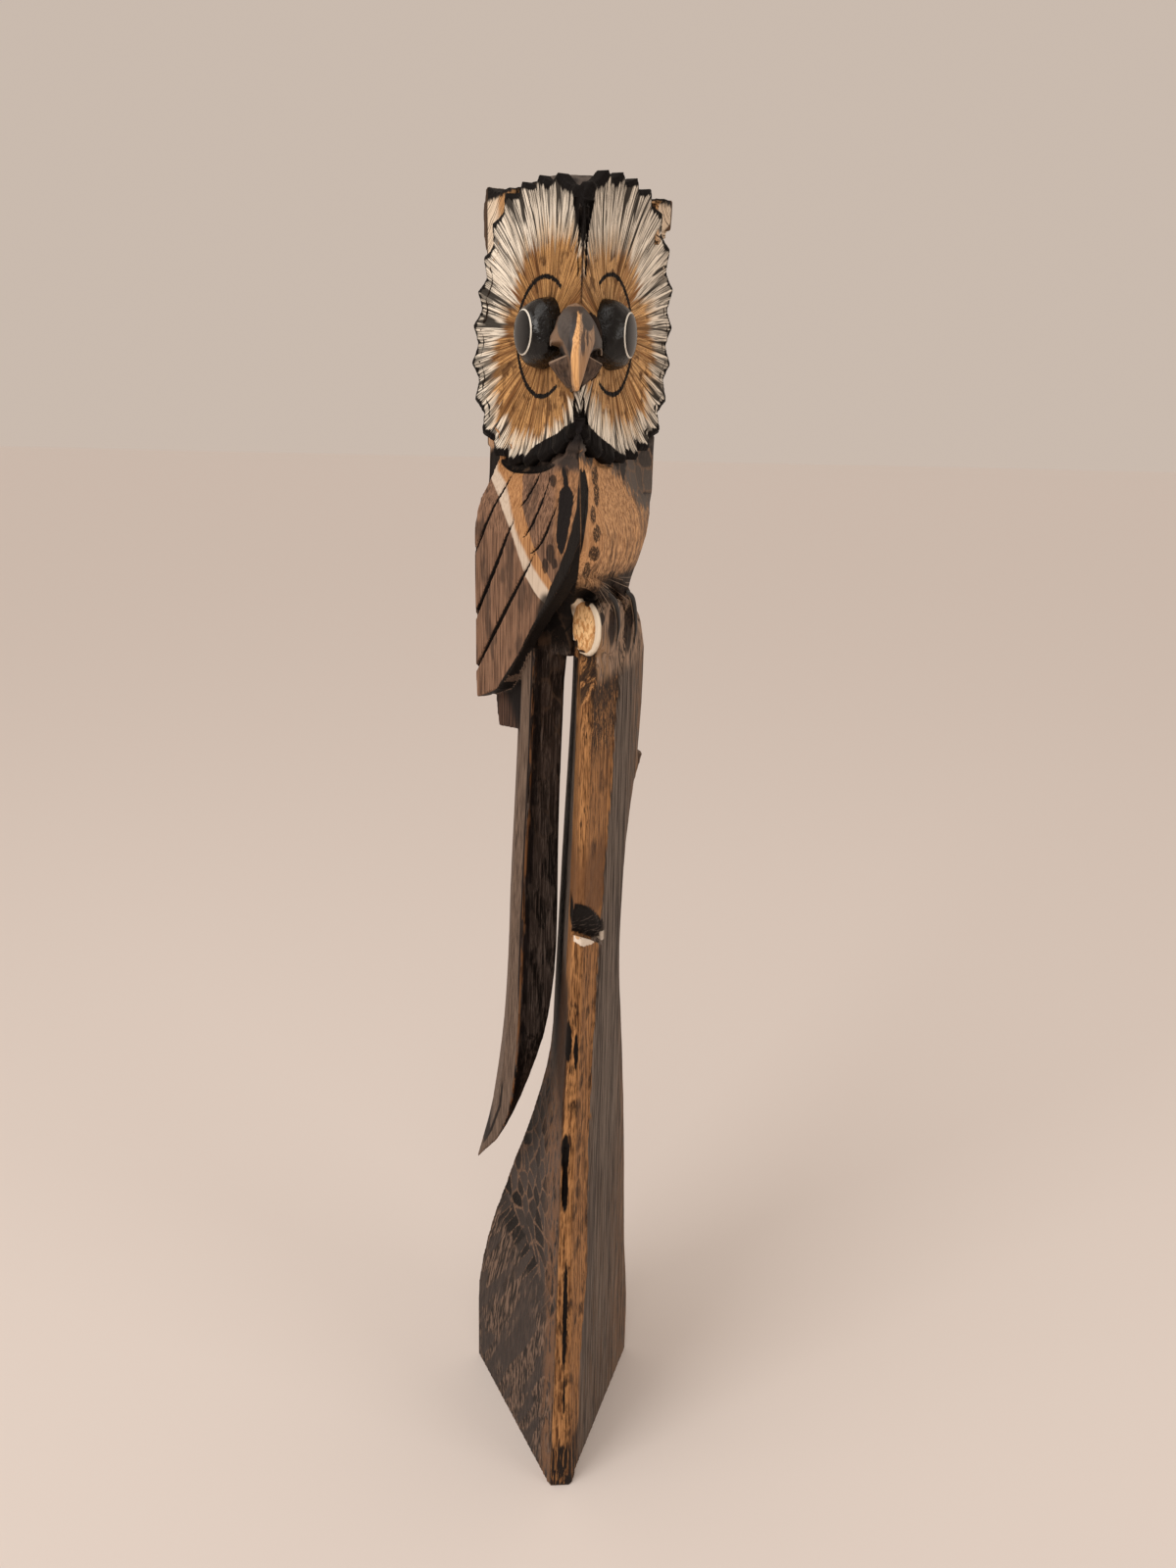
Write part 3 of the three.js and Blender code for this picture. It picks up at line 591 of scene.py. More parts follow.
def radial_cuts(share, angle, seed):
    """Knife lines from the middle outwards: 0 between them and 1 at the bottom of one."""
    broad = np.clip(1 - np.abs(round_lines(angle, share, 120, 1.5, seed)) * 4.2, 0, 1)
    fine = np.clip(1 - np.abs(round_lines(angle, share, 330, 2.4, seed + 1)) * 3.0, 0, 1)
    strength = smooth(round_lines(angle, share, 60, 2.0, seed + 2), -0.6, 0.3)
    return broad * strength, fine


print(SPOKES, "spokes and", len(SHARES), "rings")

# %% [markdown]
# Each ring is placed on the dish, cut and chipped, and joined to the next. Beyond the rim the mesh rolls
# over the edge and runs back into the wood, so no gap shows from the side or from above.

# %% Disc mesh
def face_disc(name, disc):
    side = disc["side"]
    angle = np.linspace(-math.pi, math.pi, SPOKES, endpoint=False)
    hollow = scallop_hollow(angle)
    chip = round_lines(angle, 0 * angle, 90, 1, 31 + side)
    reach = through(np.degrees(angle), disc["radii"])
    low_side = smooth(-np.sin(angle), 0.3, 0.9)

    def place(share):
        toward = smooth(share, 0.5, 1)
        r = share * (reach - (SCALLOP_DEPTH * hollow - 0.5 * chip) * toward)
        broad, fine = radial_cuts(share, angle, 41 + side)
        pale = smooth(share, 0.45, 0.75)
        cut = broad * (0.35 + 0.45 * pale) * smooth(share, 1.0, 0.86) + fine * (0.10 + 0.20 * pale)
        valley = smooth(hollow, 0.90, 1.0) * smooth(share, 0.72, 0.95) * (0.5 + 1.4 * low_side)
        roll = (
            ROLL_DROP * smooth(share, 0.955, 1.0) ** 1.5
            - 1.2 * low_side * np.exp(-((share - 0.95) / 0.035) ** 2) * (1 - hollow)
        )
        n = dish_height(disc, share, angle) - cut * smooth(share, 0.05, 0.3) - valley - roll
        return disc["s"] + r * np.cos(angle), disc["z"] + r * np.sin(angle), n, broad, fine

    steps = np.linspace(0, 1, 240)
    last = np.ones(SPOKES)
    open_spoke = np.ones(SPOKES, dtype=bool)
    for step in steps[1:]:
        s, _, n, _, _ = place(np.full(SPOKES, step))
        crossed = open_spoke & (s * SIN + n * COS < 0)
        last[crossed] = step - steps[1]
        open_spoke &= ~crossed
    rings, broad_marks, fine_marks, shares = [], [], [], []
    for fraction in SHARES:
        share = last * fraction
        s, z, n, broad, fine = place(share)
        rings.append(from_face(side, s, z, n))
        broad_marks.append(broad)
        fine_marks.append(fine)
        shares.append(share)
    meets = ~open_spoke
    rings[-1][meets, 0] = 0
    rim = rings[-1]
    outward = np.array([side * COS, -SIN, 0])
    edge = rim - (DISC_EDGE - ROLL_DROP) * outward
    edge[meets] = rim[meets] + np.array([0, DISC_EDGE, 0])
    centre_s, centre_z = np.array([float(disc["s"])]), np.array([float(disc["z"])])
    front = from_face(side, centre_s, centre_z, np.array([disc["rim"] - DISH_DEPTH]))[0]
    back = from_face(side, centre_s, centre_z, np.array([-DISC_FLOOR]))[0]
    layers = rings + [0.5 * rim + 0.5 * edge, edge, 0.45 * edge + 0.55 * back]
    vertices = np.concatenate([front[None]] + layers + [back[None]])
    across = np.arange(SPOKES)
    beside = (across + 1) % SPOKES
    faces = []
    for k in range(len(layers) - 1):
        a, b = 1 + k * SPOKES, 1 + (k + 1) * SPOKES
        faces.append(np.stack([a + across, b + across, b + beside, a + beside], axis=-1))
    quads = np.concatenate(faces)
    fan_front = np.stack([np.zeros(SPOKES, dtype=int), 1 + across, 1 + beside], axis=-1)
    end = 1 + (len(layers) - 1) * SPOKES
    fan_back = np.stack([np.full(SPOKES, len(vertices) - 1), end + beside, end + across], axis=-1)
    if side < 0:
        quads, fan_front, fan_back = quads[:, ::-1], fan_front[:, ::-1], fan_back[:, ::-1]
    piece = make_object(name, to_scene(vertices), quads.tolist() + fan_front.tolist() + fan_back.tolist())

    def spread(rows, rest):
        return np.concatenate(
            [[rows[0].mean()]] + list(rows) + [np.full(SPOKES, v) for v in rest] + [[rest[-1]]]
        )

    store(piece, "share", spread(shares, (1.05, 1.12, 1.3)))
    store(piece, "broad", spread(broad_marks, (0.5, 0.5, 0.5)))
    store(piece, "fine", spread(fine_marks, (0.5, 0.5, 0.5)))
    store(piece, "hollow", np.concatenate([[0.5]] + [hollow] * len(layers) + [[0.5]]))
    shade_smooth(piece)
    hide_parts("owl_totem")
    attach(piece, "root")
    print(name, len(piece.data.polygons), "faces")
    return piece


face_discs = [face_disc(name, disc) for name, disc in DISCS.items()]

# %% [markdown]
# ## The eyes
# Each eye is a round boss that rises from the bottom of its dish and ends in a smooth lens. A lathe
# profile makes it: flank, a thin pale ring painted at the lens's edge, and the lens.

# %% Eyes
EYE = {"s": 93.0, "z": 906.0, "foot": 22.4, "lens": 14.0, "base": -19}
EYE_TURNS = 96


def eye_profile():
    """Radius and height of the boss, from its foot up to the top of the lens."""
    base = EYE["base"] - 6
    flank = [
        (0, base), (EYE["foot"] + 0.6, base), (EYE["foot"] + 0.4, EYE["base"] + 1),
        (EYE["foot"] - 0.1, -13), (EYE["foot"] - 0.9, -9.5), (EYE["foot"] - 2.1, -6.3),
        (EYE["foot"] - 3.9, -3.6), (EYE["foot"] - 5.9, -1.6), (EYE["foot"] - 7.7, -0.4),
    ]
    ring = [(EYE["lens"] + 0.5, 0.25), (EYE["lens"] - 0.35, 0.95)]
    lens = [(13.0, 1.35), (11.0, 1.85), (8.5, 2.3), (6.0, 2.55), (3.0, 2.7), (0, 2.75)]
    return flank, ring, lens


def eye(name, side):
    flank, ring, lens = eye_profile()
    profile = flank + ring + lens
    turn = np.linspace(0, 2 * math.pi, EYE_TURNS, endpoint=False)
    rows = []
    for r, n in profile[1:-1]:
        about = np.stack([np.cos(turn) * 2.2, np.sin(turn) * 2.2, np.full(EYE_TURNS, n / 5)], axis=-1)
        dent = 0.35 * wander(about, 1, 51 + side)
        facet = 1.2 * np.cos(4 * (turn - 0.5)) * max(0, min(1, (r - 16) / 4))
        reach = r + (dent + facet if n < -1 and r > 17 else 0)
        across, rise = reach * np.cos(turn), reach * np.sin(turn)
        rows.append(from_face(side, EYE["s"] + across, EYE["z"] + rise, np.full(EYE_TURNS, float(n))))
    ends = [from_face(side, EYE["s"], EYE["z"], float(n))[None] for n in (profile[0][1], profile[-1][1])]
    vertices = np.concatenate([ends[0]] + rows + [ends[1]])
    faces = ring_walls(len(rows), EYE_TURNS, first=1)
    ring_row = len(flank) - 1
    slots = [0] * ring_row * EYE_TURNS + [1] * EYE_TURNS + [2] * (len(rows) - 2 - ring_row) * EYE_TURNS
    top = 1 + (len(rows) - 1) * EYE_TURNS
    for i in range(EYE_TURNS):
        j = (i + 1) % EYE_TURNS
        faces.append((0, 1 + j, 1 + i))
        slots.append(0)
        faces.append((top + i, top + j, len(vertices) - 1))
        slots.append(2)
    if side < 0:
        faces = [face[::-1] for face in faces]
    piece = make_object(name, to_scene(vertices), faces)
    piece.data.polygons.foreach_set("material_index", slots)
    shade_smooth(piece)
    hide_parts("owl_totem")
    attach(piece, "root")
    return piece


eyes = [eye("left_eye", -1), eye("right_eye", 1)]
print("eyes:", len(eyes[0].data.polygons), "faces each")

# %% [markdown]
# ## The beak
# The upper beak is a keel. Each level of it is one line from the left cheek over the ridge to the right
# cheek, and a table of stations says how wide and how deep that line is. Above the gape the line
# spreads into two cheeks, and below it the keel is narrow. The lower jaw is two plain facets behind it.

# %% Beak lines
BEAK_TIP, BEAK_TOP, BEAK_BACK = 868.3, 921.5, 62.0
BEAK_RIDGE = [
    (868.3, 10.2), (870, 8.6), (874, 7.8), (879, 7.4), (885, 7.6), (890, 8.2), (895, 9.6), (899, 11.6),
    (903, 14.2), (908, 18.5), (913, 25), (917, 33), (920, 41), (921.5, 48),
]
RIDGE_X = [
    (868.3, -3.6), (873, -4.6), (879, -5.4), (886, -5.6), (893, -5.2), (899, -4.6), (906, -3.6),
    (913, -2.9), (921.5, -3.2),
]
BEAK_LEFT = [
    (868.3, -4.6), (873, -6.3), (879, -7.2), (885, -8.0), (890, -9.4), (894, -10.9), (897, -12.4),
    (900, -14.4), (903, -15.1), (908, -15.2), (913, -13.8), (917, -11.4), (920, -8.0), (921.5, -4.2),
]
BEAK_RIGHT = [
    (868.3, -2.6), (873, -0.8), (879, 1.2), (885, 3.0), (890, 4.6), (894, 6.3), (897, 7.4), (900, 7.6),
    (908, 7.0), (913, 5.4), (917, 3.0), (920, 0.4), (921.5, -2.4),
]
CHEEK_LEFT = [
    (868, -5), (890, -10), (896, -12.6), (897.4, -18.6), (902, -18.4), (907, -15.6), (914, -13.4),
    (921.5, -5),
]
CHEEK_RIGHT = [
    (868, -2), (890, 5), (893, 7.4), (894.6, 13.0), (899, 13.2), (904, 11.4), (909, 9.4), (914, 6.6),
    (918, 3.4), (921.5, -2),
]
print("the beak is", round(BEAK_TOP - BEAK_TIP, 1), "mm tall")

# %% [markdown]
# A level of the beak is drawn from the ridge out to both sides and back into the face. The levels are
# then joined like the hoops of a barrel. The nostril and a dent in the flank are pushed in at the end.

# %% Beak
FLANK_SPAN = 18
BEAK_RINGS = 96


def beak_level(z):
    ridge_y = float(through(np.array([z]), BEAK_RIDGE)[0])
    ridge_x = float(along(z, RIDGE_X))
    left, right = float(along(z, BEAK_LEFT)), float(along(z, BEAK_RIGHT))
    half_stripe = 0.9 + 0.5 * float(smooth(z, 905, 890))
    t = np.linspace(0, 1, FLANK_SPAN)
    bend = 1 - (1 - t) ** 1.55
    line = []
    for outer, sign in ((left, -1), (right, 1)):
        start = ridge_x + sign * min(half_stripe, 0.45 * abs(outer - ridge_x))
        wide = abs(outer - start)
        fall = 1.25 * wide + 1.5
        x = start + (outer - start) * bend
        y = ridge_y + 0.5 + fall * t**1.5
        line.append((x, y))
    (left_x, left_y), (right_x, right_y) = line
    cheek_l, cheek_r = float(along(z, CHEEK_LEFT)), float(along(z, CHEEK_RIGHT))
    u = np.linspace(0.15, 1, 7)
    cheek_depth = 11.0
    side_l = (left_x[-1] + (cheek_l - left_x[-1]) * u, left_y[-1] + cheek_depth * u**1.3)
    side_r = (right_x[-1] + (cheek_r - right_x[-1]) * u, right_y[-1] + cheek_depth * u**1.3)
    x = np.concatenate([
        [cheek_l - 0.5], side_l[0][::-1], left_x[::-1], right_x, side_r[0], [cheek_r + 0.5],
    ])
    y = np.concatenate([[BEAK_BACK], side_l[1][::-1], left_y[::-1], right_y, side_r[1], [BEAK_BACK]])
    return np.stack([x, np.minimum(y, BEAK_BACK), np.full(len(x), z)], axis=-1)


def beak_piece(name):
    rows = [beak_level(z) for z in np.linspace(BEAK_TIP, BEAK_TOP, BEAK_RINGS)]
    count = len(rows[0])
    p = np.concatenate(rows)
    x, y, z = p.T
    nostril = np.sqrt(((x - 3.2) / 4.2) ** 2 + ((z - 909.5) / 6.4) ** 2)
    p[:, 1] += 2.4 * np.clip(1.15 - nostril, 0, 1) ** 0.6 * (y < 40)
    flank = smooth(-x, 5, 8) * smooth(z, 895, 902)
    p[:, 1] -= 0.8 * flank * np.exp(-(((x + 8.5) / 2.0) ** 2))
    p[:, 1] += 0.22 * wander(p, (2.5, 5, 13), 61)
    low = tuple(range(count))[::-1]
    high = tuple((BEAK_RINGS - 1) * count + i for i in range(count))
    piece = make_object(name, to_scene(p), ring_walls(BEAK_RINGS, count) + [low, high])
    shade_smooth(piece)
    return piece


beak = beak_piece("beak")
print("beak:", len(beak.data.polygons), "faces")

# %% [markdown]
# The lower jaw is a small wedge of wood behind the beak's tip, with a worn edge. Three levels and a
# raised rim are enough for its facets, and a bevel rounds the edge as handling did.

# %% Lower jaw
JAW_LEVELS = [
    {"z": 870.5, "left": (-8.2, 33), "middle": (-4.0, 27), "right": (0.2, 33)},
    {"z": 877.5, "left": (-14.4, 32), "middle": (-3.6, 18), "right": (8.8, 32)},
    {"z": 884.0, "left": (-19.6, 31), "middle": (-3.2, 17), "right": (13.2, 31)},
]
JAW_EDGE = {"left": (-19.7, 33, 885.6), "middle": (-3.2, 18, 892.5), "right": (13.2, 33, 885.2)}


def jaw_piece(name):
    rows = []
    for level in JAW_LEVELS:
        z, left, middle, right = (level[key] for key in ("z", "left", "middle", "right"))
        rows.append([
            (*left, z), (*middle, z), (*right, z), (right[0] - 1, BEAK_BACK, z),
            (left[0] + 1, BEAK_BACK, z),
        ])
    left, middle, right = (JAW_EDGE[key] for key in ("left", "middle", "right"))
    rows.append([
        left, middle, right, (right[0], BEAK_BACK, right[2] + 1), (left[0], BEAK_BACK, left[2] + 1),
    ])
    p = np.array([point for row in rows for point in row], dtype=float)
    ends = [(4, 3, 2, 1, 0), tuple(5 * (len(rows) - 1) + i for i in range(5))]
    piece = make_object(name, to_scene(p), ring_walls(len(rows), 5) + ends)
    bevel = piece.modifiers.new("worn_edges", "BEVEL")
    bevel.width = 0.0007
    bevel.segments = 3
    return piece


jaw = jaw_piece("lower_jaw")
print("lower jaw:", len(jaw.data.polygons), "faces")

# %% [markdown]
# ## Lips and claws
# The gape has a thin raised lip at each side, and two claws grip the branch. Both are tapered round
# sticks swept along a short bent line, so one function makes them all.

# %% Lips and claws
def swept(name, path, radii, steps=28, around=14, flat=1.0):
    """A round stick along a bent line through a few points, closed at both ends."""
    path = np.array(path, dtype=float)
    where = np.linspace(0, 1, len(path))
    t = np.linspace(0, 1, steps)
    middle = np.stack([through(t, list(zip(where, path[:, k]))) for k in range(3)], axis=-1)
    size = np.interp(t, np.linspace(0, 1, len(radii)), radii)
    ahead_of = np.gradient(middle, axis=0)
    ahead_of /= np.linalg.norm(ahead_of, axis=1)[:, None]
    sideways = np.cross(ahead_of, np.array([0.0, 1.0, 0.0]))
    sideways /= np.linalg.norm(sideways, axis=1)[:, None]
    outwards = np.cross(sideways, ahead_of)
    turn = np.linspace(0, 2 * math.pi, around, endpoint=False)
    rows = [
        middle[k]
        + size[k] * (np.cos(turn)[:, None] * sideways[k] + flat * np.sin(turn)[:, None] * outwards[k])
        for k in range(steps)
    ]
    ends = [tuple(range(around))[::-1], tuple((steps - 1) * around + i for i in range(around))]
    piece = make_object(name, to_scene(np.concatenate(rows)), ring_walls(steps, around) + ends)
    # The way round each stick; the claws' paint puts a painted highlight on one side with it.
    store(piece, "edge", np.tile(np.cos(turn), steps))
    shade_smooth(piece)
    return piece


LIPS = {
    "left_lip": [
        (-19.0, 43, 895.4), (-18.4, 41, 898.4), (-15.6, 38, 899.6), (-12.6, 34, 897.6),
        (-10.8, 30, 893.6), (-9.6, 25, 889.8),
    ],
    "right_lip": [
        (4.6, 26, 890.6), (6.2, 30, 894.0), (8.8, 34, 896.4), (11.0, 37, 896.4), (12.8, 40, 893.6),
        (13.2, 42, 890.6),
    ],
}
CLAWS = {
    "left_claw": [(57, 739, 0.5), (64, 733, 3.0), (71, 725, 3.6), (79, 713, 2.6), (86, 701, -0.6)],
    "right_claw": [(101, 735, 0.5), (108, 730, 3.0), (115, 720, 3.4), (124, 706, 2.2), (132, 691, -0.8)],
}
lips = [swept(name, path, [0.5, 0.9, 0.9, 0.5]) for name, path in LIPS.items()]
claws = []
for name, path in CLAWS.items():
    s, z, n = np.array(path, dtype=float).T
    claws.append(swept(name, from_face(1, s, z, n), [1.5, 2.1, 1.9, 1.2, 0.4]))
for piece in [beak, jaw] + lips + claws:
    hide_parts("owl_totem")
    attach(piece, "root")
print(len(lips), "lips and", len(claws), "claws")

# %% [markdown]
# ## Measures for the paint
# The carver's paint follows the carving, not the room: a stripe keeps its distance from the wing's edge.
# A texture could be wrapped round each piece for that, but then every seam shows. Instead every point
# keeps its own place in the wedge's measures, in millimetres, and the paint reads that.

# %% Store the wedge measures
for piece in [carving, beak, jaw] + face_discs + eyes + lips + claws:
    wedge = mesh_points(piece.data) * 1000 + TO_WEDGE
    layer = piece.data.attributes.new("wedge", "FLOAT_VECTOR", "POINT")
    layer.data.foreach_set("vector", wedge.ravel())
print("wedge measures stored")

# %% [markdown]
# ## Mixing paint
# In Blender a paint is a tree of nodes, and a mask is a value that runs through it. Nodes can be placed
# and wired by hand, but a long recipe is easier to read as arithmetic. So a `Flow` is one running value:
# `a * b` is where both masks hold, `a | b` where either does, and `1 - a` is the rest. `fade` is a soft
# step, `ragged` roughens an edge, `along` reads a curve, and `cover` lays a colour on through a mask.

# %% Values that run through paint
class Flow:
    """A value that runs through a paint's nodes. Plain arithmetic on it adds the nodes."""

    def __init__(self, paint, socket):
        self.paint, self.socket = paint, socket

    def __add__(self, other):
        return self.paint.calc("ADD", self, other)

    def __radd__(self, other):
        return self.paint.calc("ADD", other, self)

    def __sub__(self, other):
        return self.paint.calc("SUBTRACT", self, other)

    def __rsub__(self, other):
        return self.paint.calc("SUBTRACT", other, self)

    def __mul__(self, other):
        return self.paint.calc("MULTIPLY", self, other)

    def __truediv__(self, other):
        return self.paint.calc("DIVIDE", self, other)

    def __pow__(self, power):
        return self.paint.calc("POWER", self, power)

    def __or__(self, other):
        return self.paint.calc("MAXIMUM", self, other)

    def __abs__(self):
        return self.paint.calc("ABSOLUTE", self)

    def fade(self, low, high):
        """A soft step from 0 at low to 1 at high. With low above high it runs downward."""
        node = self.paint.add("ShaderNodeMapRange", interpolation_type="SMOOTHSTEP")
        self.paint.wire(self, node.inputs["Value"])
        ends = (low, high, 0.0, 1.0) if low < high else (high, low, 1.0, 0.0)
        for key, end in zip(("From Min", "From Max", "To Min", "To Max"), ends):
            node.inputs[key].default_value = end
        return Flow(self.paint, node.outputs["Result"])

    def ragged(self, size, reach):
        """The same value with its edge made uneven by noise of a size, up to a reach each way."""
        return self + (self.paint.grain(size) - 0.5) * (2 * reach)

    def along(self, stations):
        """Another measure read off at this one, straight from station to station."""
        low, high = stations[0][0], stations[-1][0]
        least, most = min(v for _, v in stations), max(v for _, v in stations)
        span = max(most - least, 1e-6)
        within = self.paint.calc("DIVIDE", self - low, high - low, clamp=True)
        node = self.paint.add("ShaderNodeFloatCurve")
        curve = node.mapping.curves[0]
        while len(curve.points) < len(stations):
            curve.points.new(0.5, 0.5)
        for point, (where, what) in zip(curve.points, stations):
            point.location = ((where - low) / (high - low), (what - least) / span)
            point.handle_type = "VECTOR"
        node.mapping.update()
        self.paint.wire(within, node.inputs["Value"])
        return Flow(self.paint, node.outputs[0]) * span + least

    def cover(self, colour, mask):
        """This colour with another one laid over it where the mask says."""
        return self.paint.blend(self, colour, mask)


print("signs ready:", [name for name in vars(Flow) if not name.startswith("_")])

# %% [markdown]
# A `Paint` is one material. It starts with the wedge's measures, and it makes noise that is stretched
# like wood fibre with `grain`, soft ovals with `spots`, and two mixed colours with `blend`.

# %% Paint kit
class Paint:
    """One material, with the wedge's own measures x, y, z, s and n at hand."""

    def __init__(self, name):
        self.material = bpy.data.materials.new(name)
        self.material.use_nodes = True
        self.tree = self.material.node_tree
        self.shader = self.tree.nodes["Principled BSDF"]
        self.place = self.add("ShaderNodeTexCoord").outputs["Object"]
        wedge = self.add("ShaderNodeAttribute", attribute_name="wedge", attribute_type="GEOMETRY")
        parts = self.add("ShaderNodeSeparateColor")
        self.wire(wedge.outputs["Color"], parts.inputs[0])
        self.x, self.y, self.z = (Flow(self, socket) for socket in parts.outputs)
        wide_x = abs(self.x)
        self.s = wide_x * SIN + self.y * COS
        self.n = wide_x * COS - self.y * SIN

    def add(self, kind, **settings):
        node = self.tree.nodes.new(kind)
        for key, value in settings.items():
            setattr(node, key, value)
        return node

    def wire(self, source, socket):
        if isinstance(source, Flow):
            source = source.socket
        if isinstance(source, bpy.types.NodeSocket):
            self.tree.links.new(source, socket)
        elif isinstance(source, tuple) and len(source) == 3 and socket.type == "RGBA":
            socket.default_value = (*source, 1)
        else:
            socket.default_value = source

    def calc(self, operation, a, b=0.0, clamp=False):
        node = self.add("ShaderNodeMath", operation=operation, use_clamp=clamp)
        self.wire(a, node.inputs[0])
        self.wire(b, node.inputs[1])
        return Flow(self, node.outputs[0])

    def attribute(self, name):
        node = self.add("ShaderNodeAttribute", attribute_name=name, attribute_type="GEOMETRY")
        return Flow(self, node.outputs["Fac"])

    def stretched(self, size, vector=None, turn=(0.0, 0.0, 0.0)):
        """A place to look noise up at, with the noise as large as the size, in millimetres."""
        if vector is None:
            node = self.add("ShaderNodeMapping", vector_type="TEXTURE")
            self.wire(self.place, node.inputs["Vector"])
            node.inputs["Rotation"].default_value = tuple(math.radians(a) for a in turn)
            node.inputs["Scale"].default_value = tuple(0.001 * step for step in size)
            return node.outputs[0]
        node = self.add("ShaderNodeVectorMath", operation="DIVIDE")
        self.wire(vector, node.inputs[0])
        node.inputs[1].default_value = size
        return node.outputs[0]

    def steps(self, value, size):
        """Noise along one measure only."""
        scaled = value / size
        node = self.add("ShaderNodeTexNoise", noise_dimensions="1D")
        self.wire(scaled, node.inputs["W"])
        node.inputs["Scale"].default_value = 1.0
        node.inputs["Detail"].default_value = 2.0
        return Flow(self, node.outputs["Fac"])

    def grain(self, size, detail=3.0, rough=0.55, vector=None, bend=0.0, turn=(0.0, 0.0, 0.0)):
        """Noise stretched to a size along x, y and z, such as fibres along the wood."""
        place = self.stretched(size, vector, turn)
        node = self.add("ShaderNodeTexNoise", noise_dimensions="3D")
        self.wire(place, node.inputs["Vector"])
        node.inputs["Scale"].default_value = 1.0
        node.inputs["Detail"].default_value = detail
        node.inputs["Roughness"].default_value = rough
        node.inputs["Distortion"].default_value = bend
        return Flow(self, node.outputs["Fac"])

    def blotches(self, size):
        """Distance from the middle of the nearest of many scattered cells."""
        node = self.add("ShaderNodeTexVoronoi", feature="F1")
        self.wire(self.stretched(size), node.inputs["Vector"])
        node.inputs["Scale"].default_value = 1.0
        return Flow(self, node.outputs["Distance"])

    def vector(self, x, y, z):
        node = self.add("ShaderNodeCombineXYZ")
        for source, socket in zip((x, y, z), node.inputs):
            self.wire(source, socket)
        return node.outputs[0]

    def blend(self, low, high, factor):
        """The low colour where the factor is 0 and the high one where it is 1."""
        node = self.add("ShaderNodeMix", data_type="RGBA")
        self.wire(factor, node.inputs["Factor"])
        self.wire(low, [i for i in node.inputs if i.name == "A" and i.type == "RGBA"][0])
        self.wire(high, [i for i in node.inputs if i.name == "B" and i.type == "RGBA"][0])
        return Flow(self, [o for o in node.outputs if o.type == "RGBA"][0])

    def spots(self, u, v, places, soft=0.12):
        """Soft ovals at (u, v, half width, half height), all in one mask."""
        total = None
        for at_u, at_v, wide, tall in places:
            du, dv = (u - at_u) / wide, (v - at_v) / tall
            mask = (du * du + dv * dv).fade(1 + soft, 1 - soft)
            total = mask if total is None else total | mask
        return total

    def finish(self, colour, roughness, height=None, bump=0.3, reach=0.0004, gloss=0.08):
        self.shader.inputs["Specular IOR Level"].default_value = gloss
        self.wire(colour, self.shader.inputs["Base Color"])
        self.wire(roughness, self.shader.inputs["Roughness"])
        if height is not None:
            node = self.add("ShaderNodeBump")
            node.inputs["Strength"].default_value = bump
            node.inputs["Distance"].default_value = reach
            self.wire(height, node.inputs["Height"])
            self.wire(node.outputs[0], self.shader.inputs["Normal"])
        return self.material


print("paint kit ready")

# %% [markdown]
# ### Feather paint
# The discs are cream white outside and warm orange brown inside. Dark stain lies in every knife line,
# each scallop has a black tip, and a loose black stroke is drawn round each eye.

# %% Feather colours
CREAM, GREY_CREAM = (0.88, 0.79, 0.66), (0.56, 0.49, 0.40)
# The near-black serves as black paint and as painted shade: it also fills the painted shadows under the
# discs, in the notch and in the gape.
UMBER, SOOT_AND_SHADE = (0.060, 0.024, 0.009), (0.006, 0.0045, 0.004)
WARMTH = {
    "left_face_disc": {"low": (0.155, 0.062, 0.019), "high": (0.66, 0.365, 0.140)},
    "right_face_disc": {"low": (0.24, 0.105, 0.034), "high": (0.88, 0.53, 0.235)},
}
ZONES = {
    "left_face_disc": [
        (-180, 0.7), (-142, 0.71), (-126, 0.78), (-107, 0.78), (-90, 0.81), (-64, 0.78), (-47, 0.77),
        (-33, 0.77), (-20, 0.76), (-8, 0.72), (2, 0.64), (22, 0.54), (42, 0.55), (61, 0.59), (79, 0.59),
        (101, 0.61), (120, 0.66), (138, 0.73), (180, 0.7),
    ],
    "right_face_disc": [
        (-180, 0.62), (-140, 0.62), (-120, 0.58), (-98, 0.66), (-71, 0.75), (-46, 0.74), (-29, 0.74),
        (-13, 0.77), (0, 0.73), (15, 0.62), (31, 0.52), (49, 0.53), (70, 0.55), (97, 0.53), (126, 0.55),
        (146, 0.7), (180, 0.7),
    ],
}
STROKE_REACH = {"middle": 37.8, "east": 1.2, "north": -3.2}
PIT_WIDTH = [
    (820, 40), (834, 27), (842, 14), (847, 8.5), (850.5, 3), (852.5, -3), (900, -3), (925, 0.2),
    (950, 0.5), (958, 1.6), (966, 3.4), (974, 5.4), (985, 7.5), (1010, 9),
]

print("warm zone reaches", ZONES["left_face_disc"][0][1], "of the way to the rim at the left")

# %% [markdown]
# The noise of a disc runs along its radii. A wave texture round the middle would be too even, so the
# direction from the middle and the share of the way out are the noise's own axes. Where they are
# stretched outwards, the noise becomes strands.

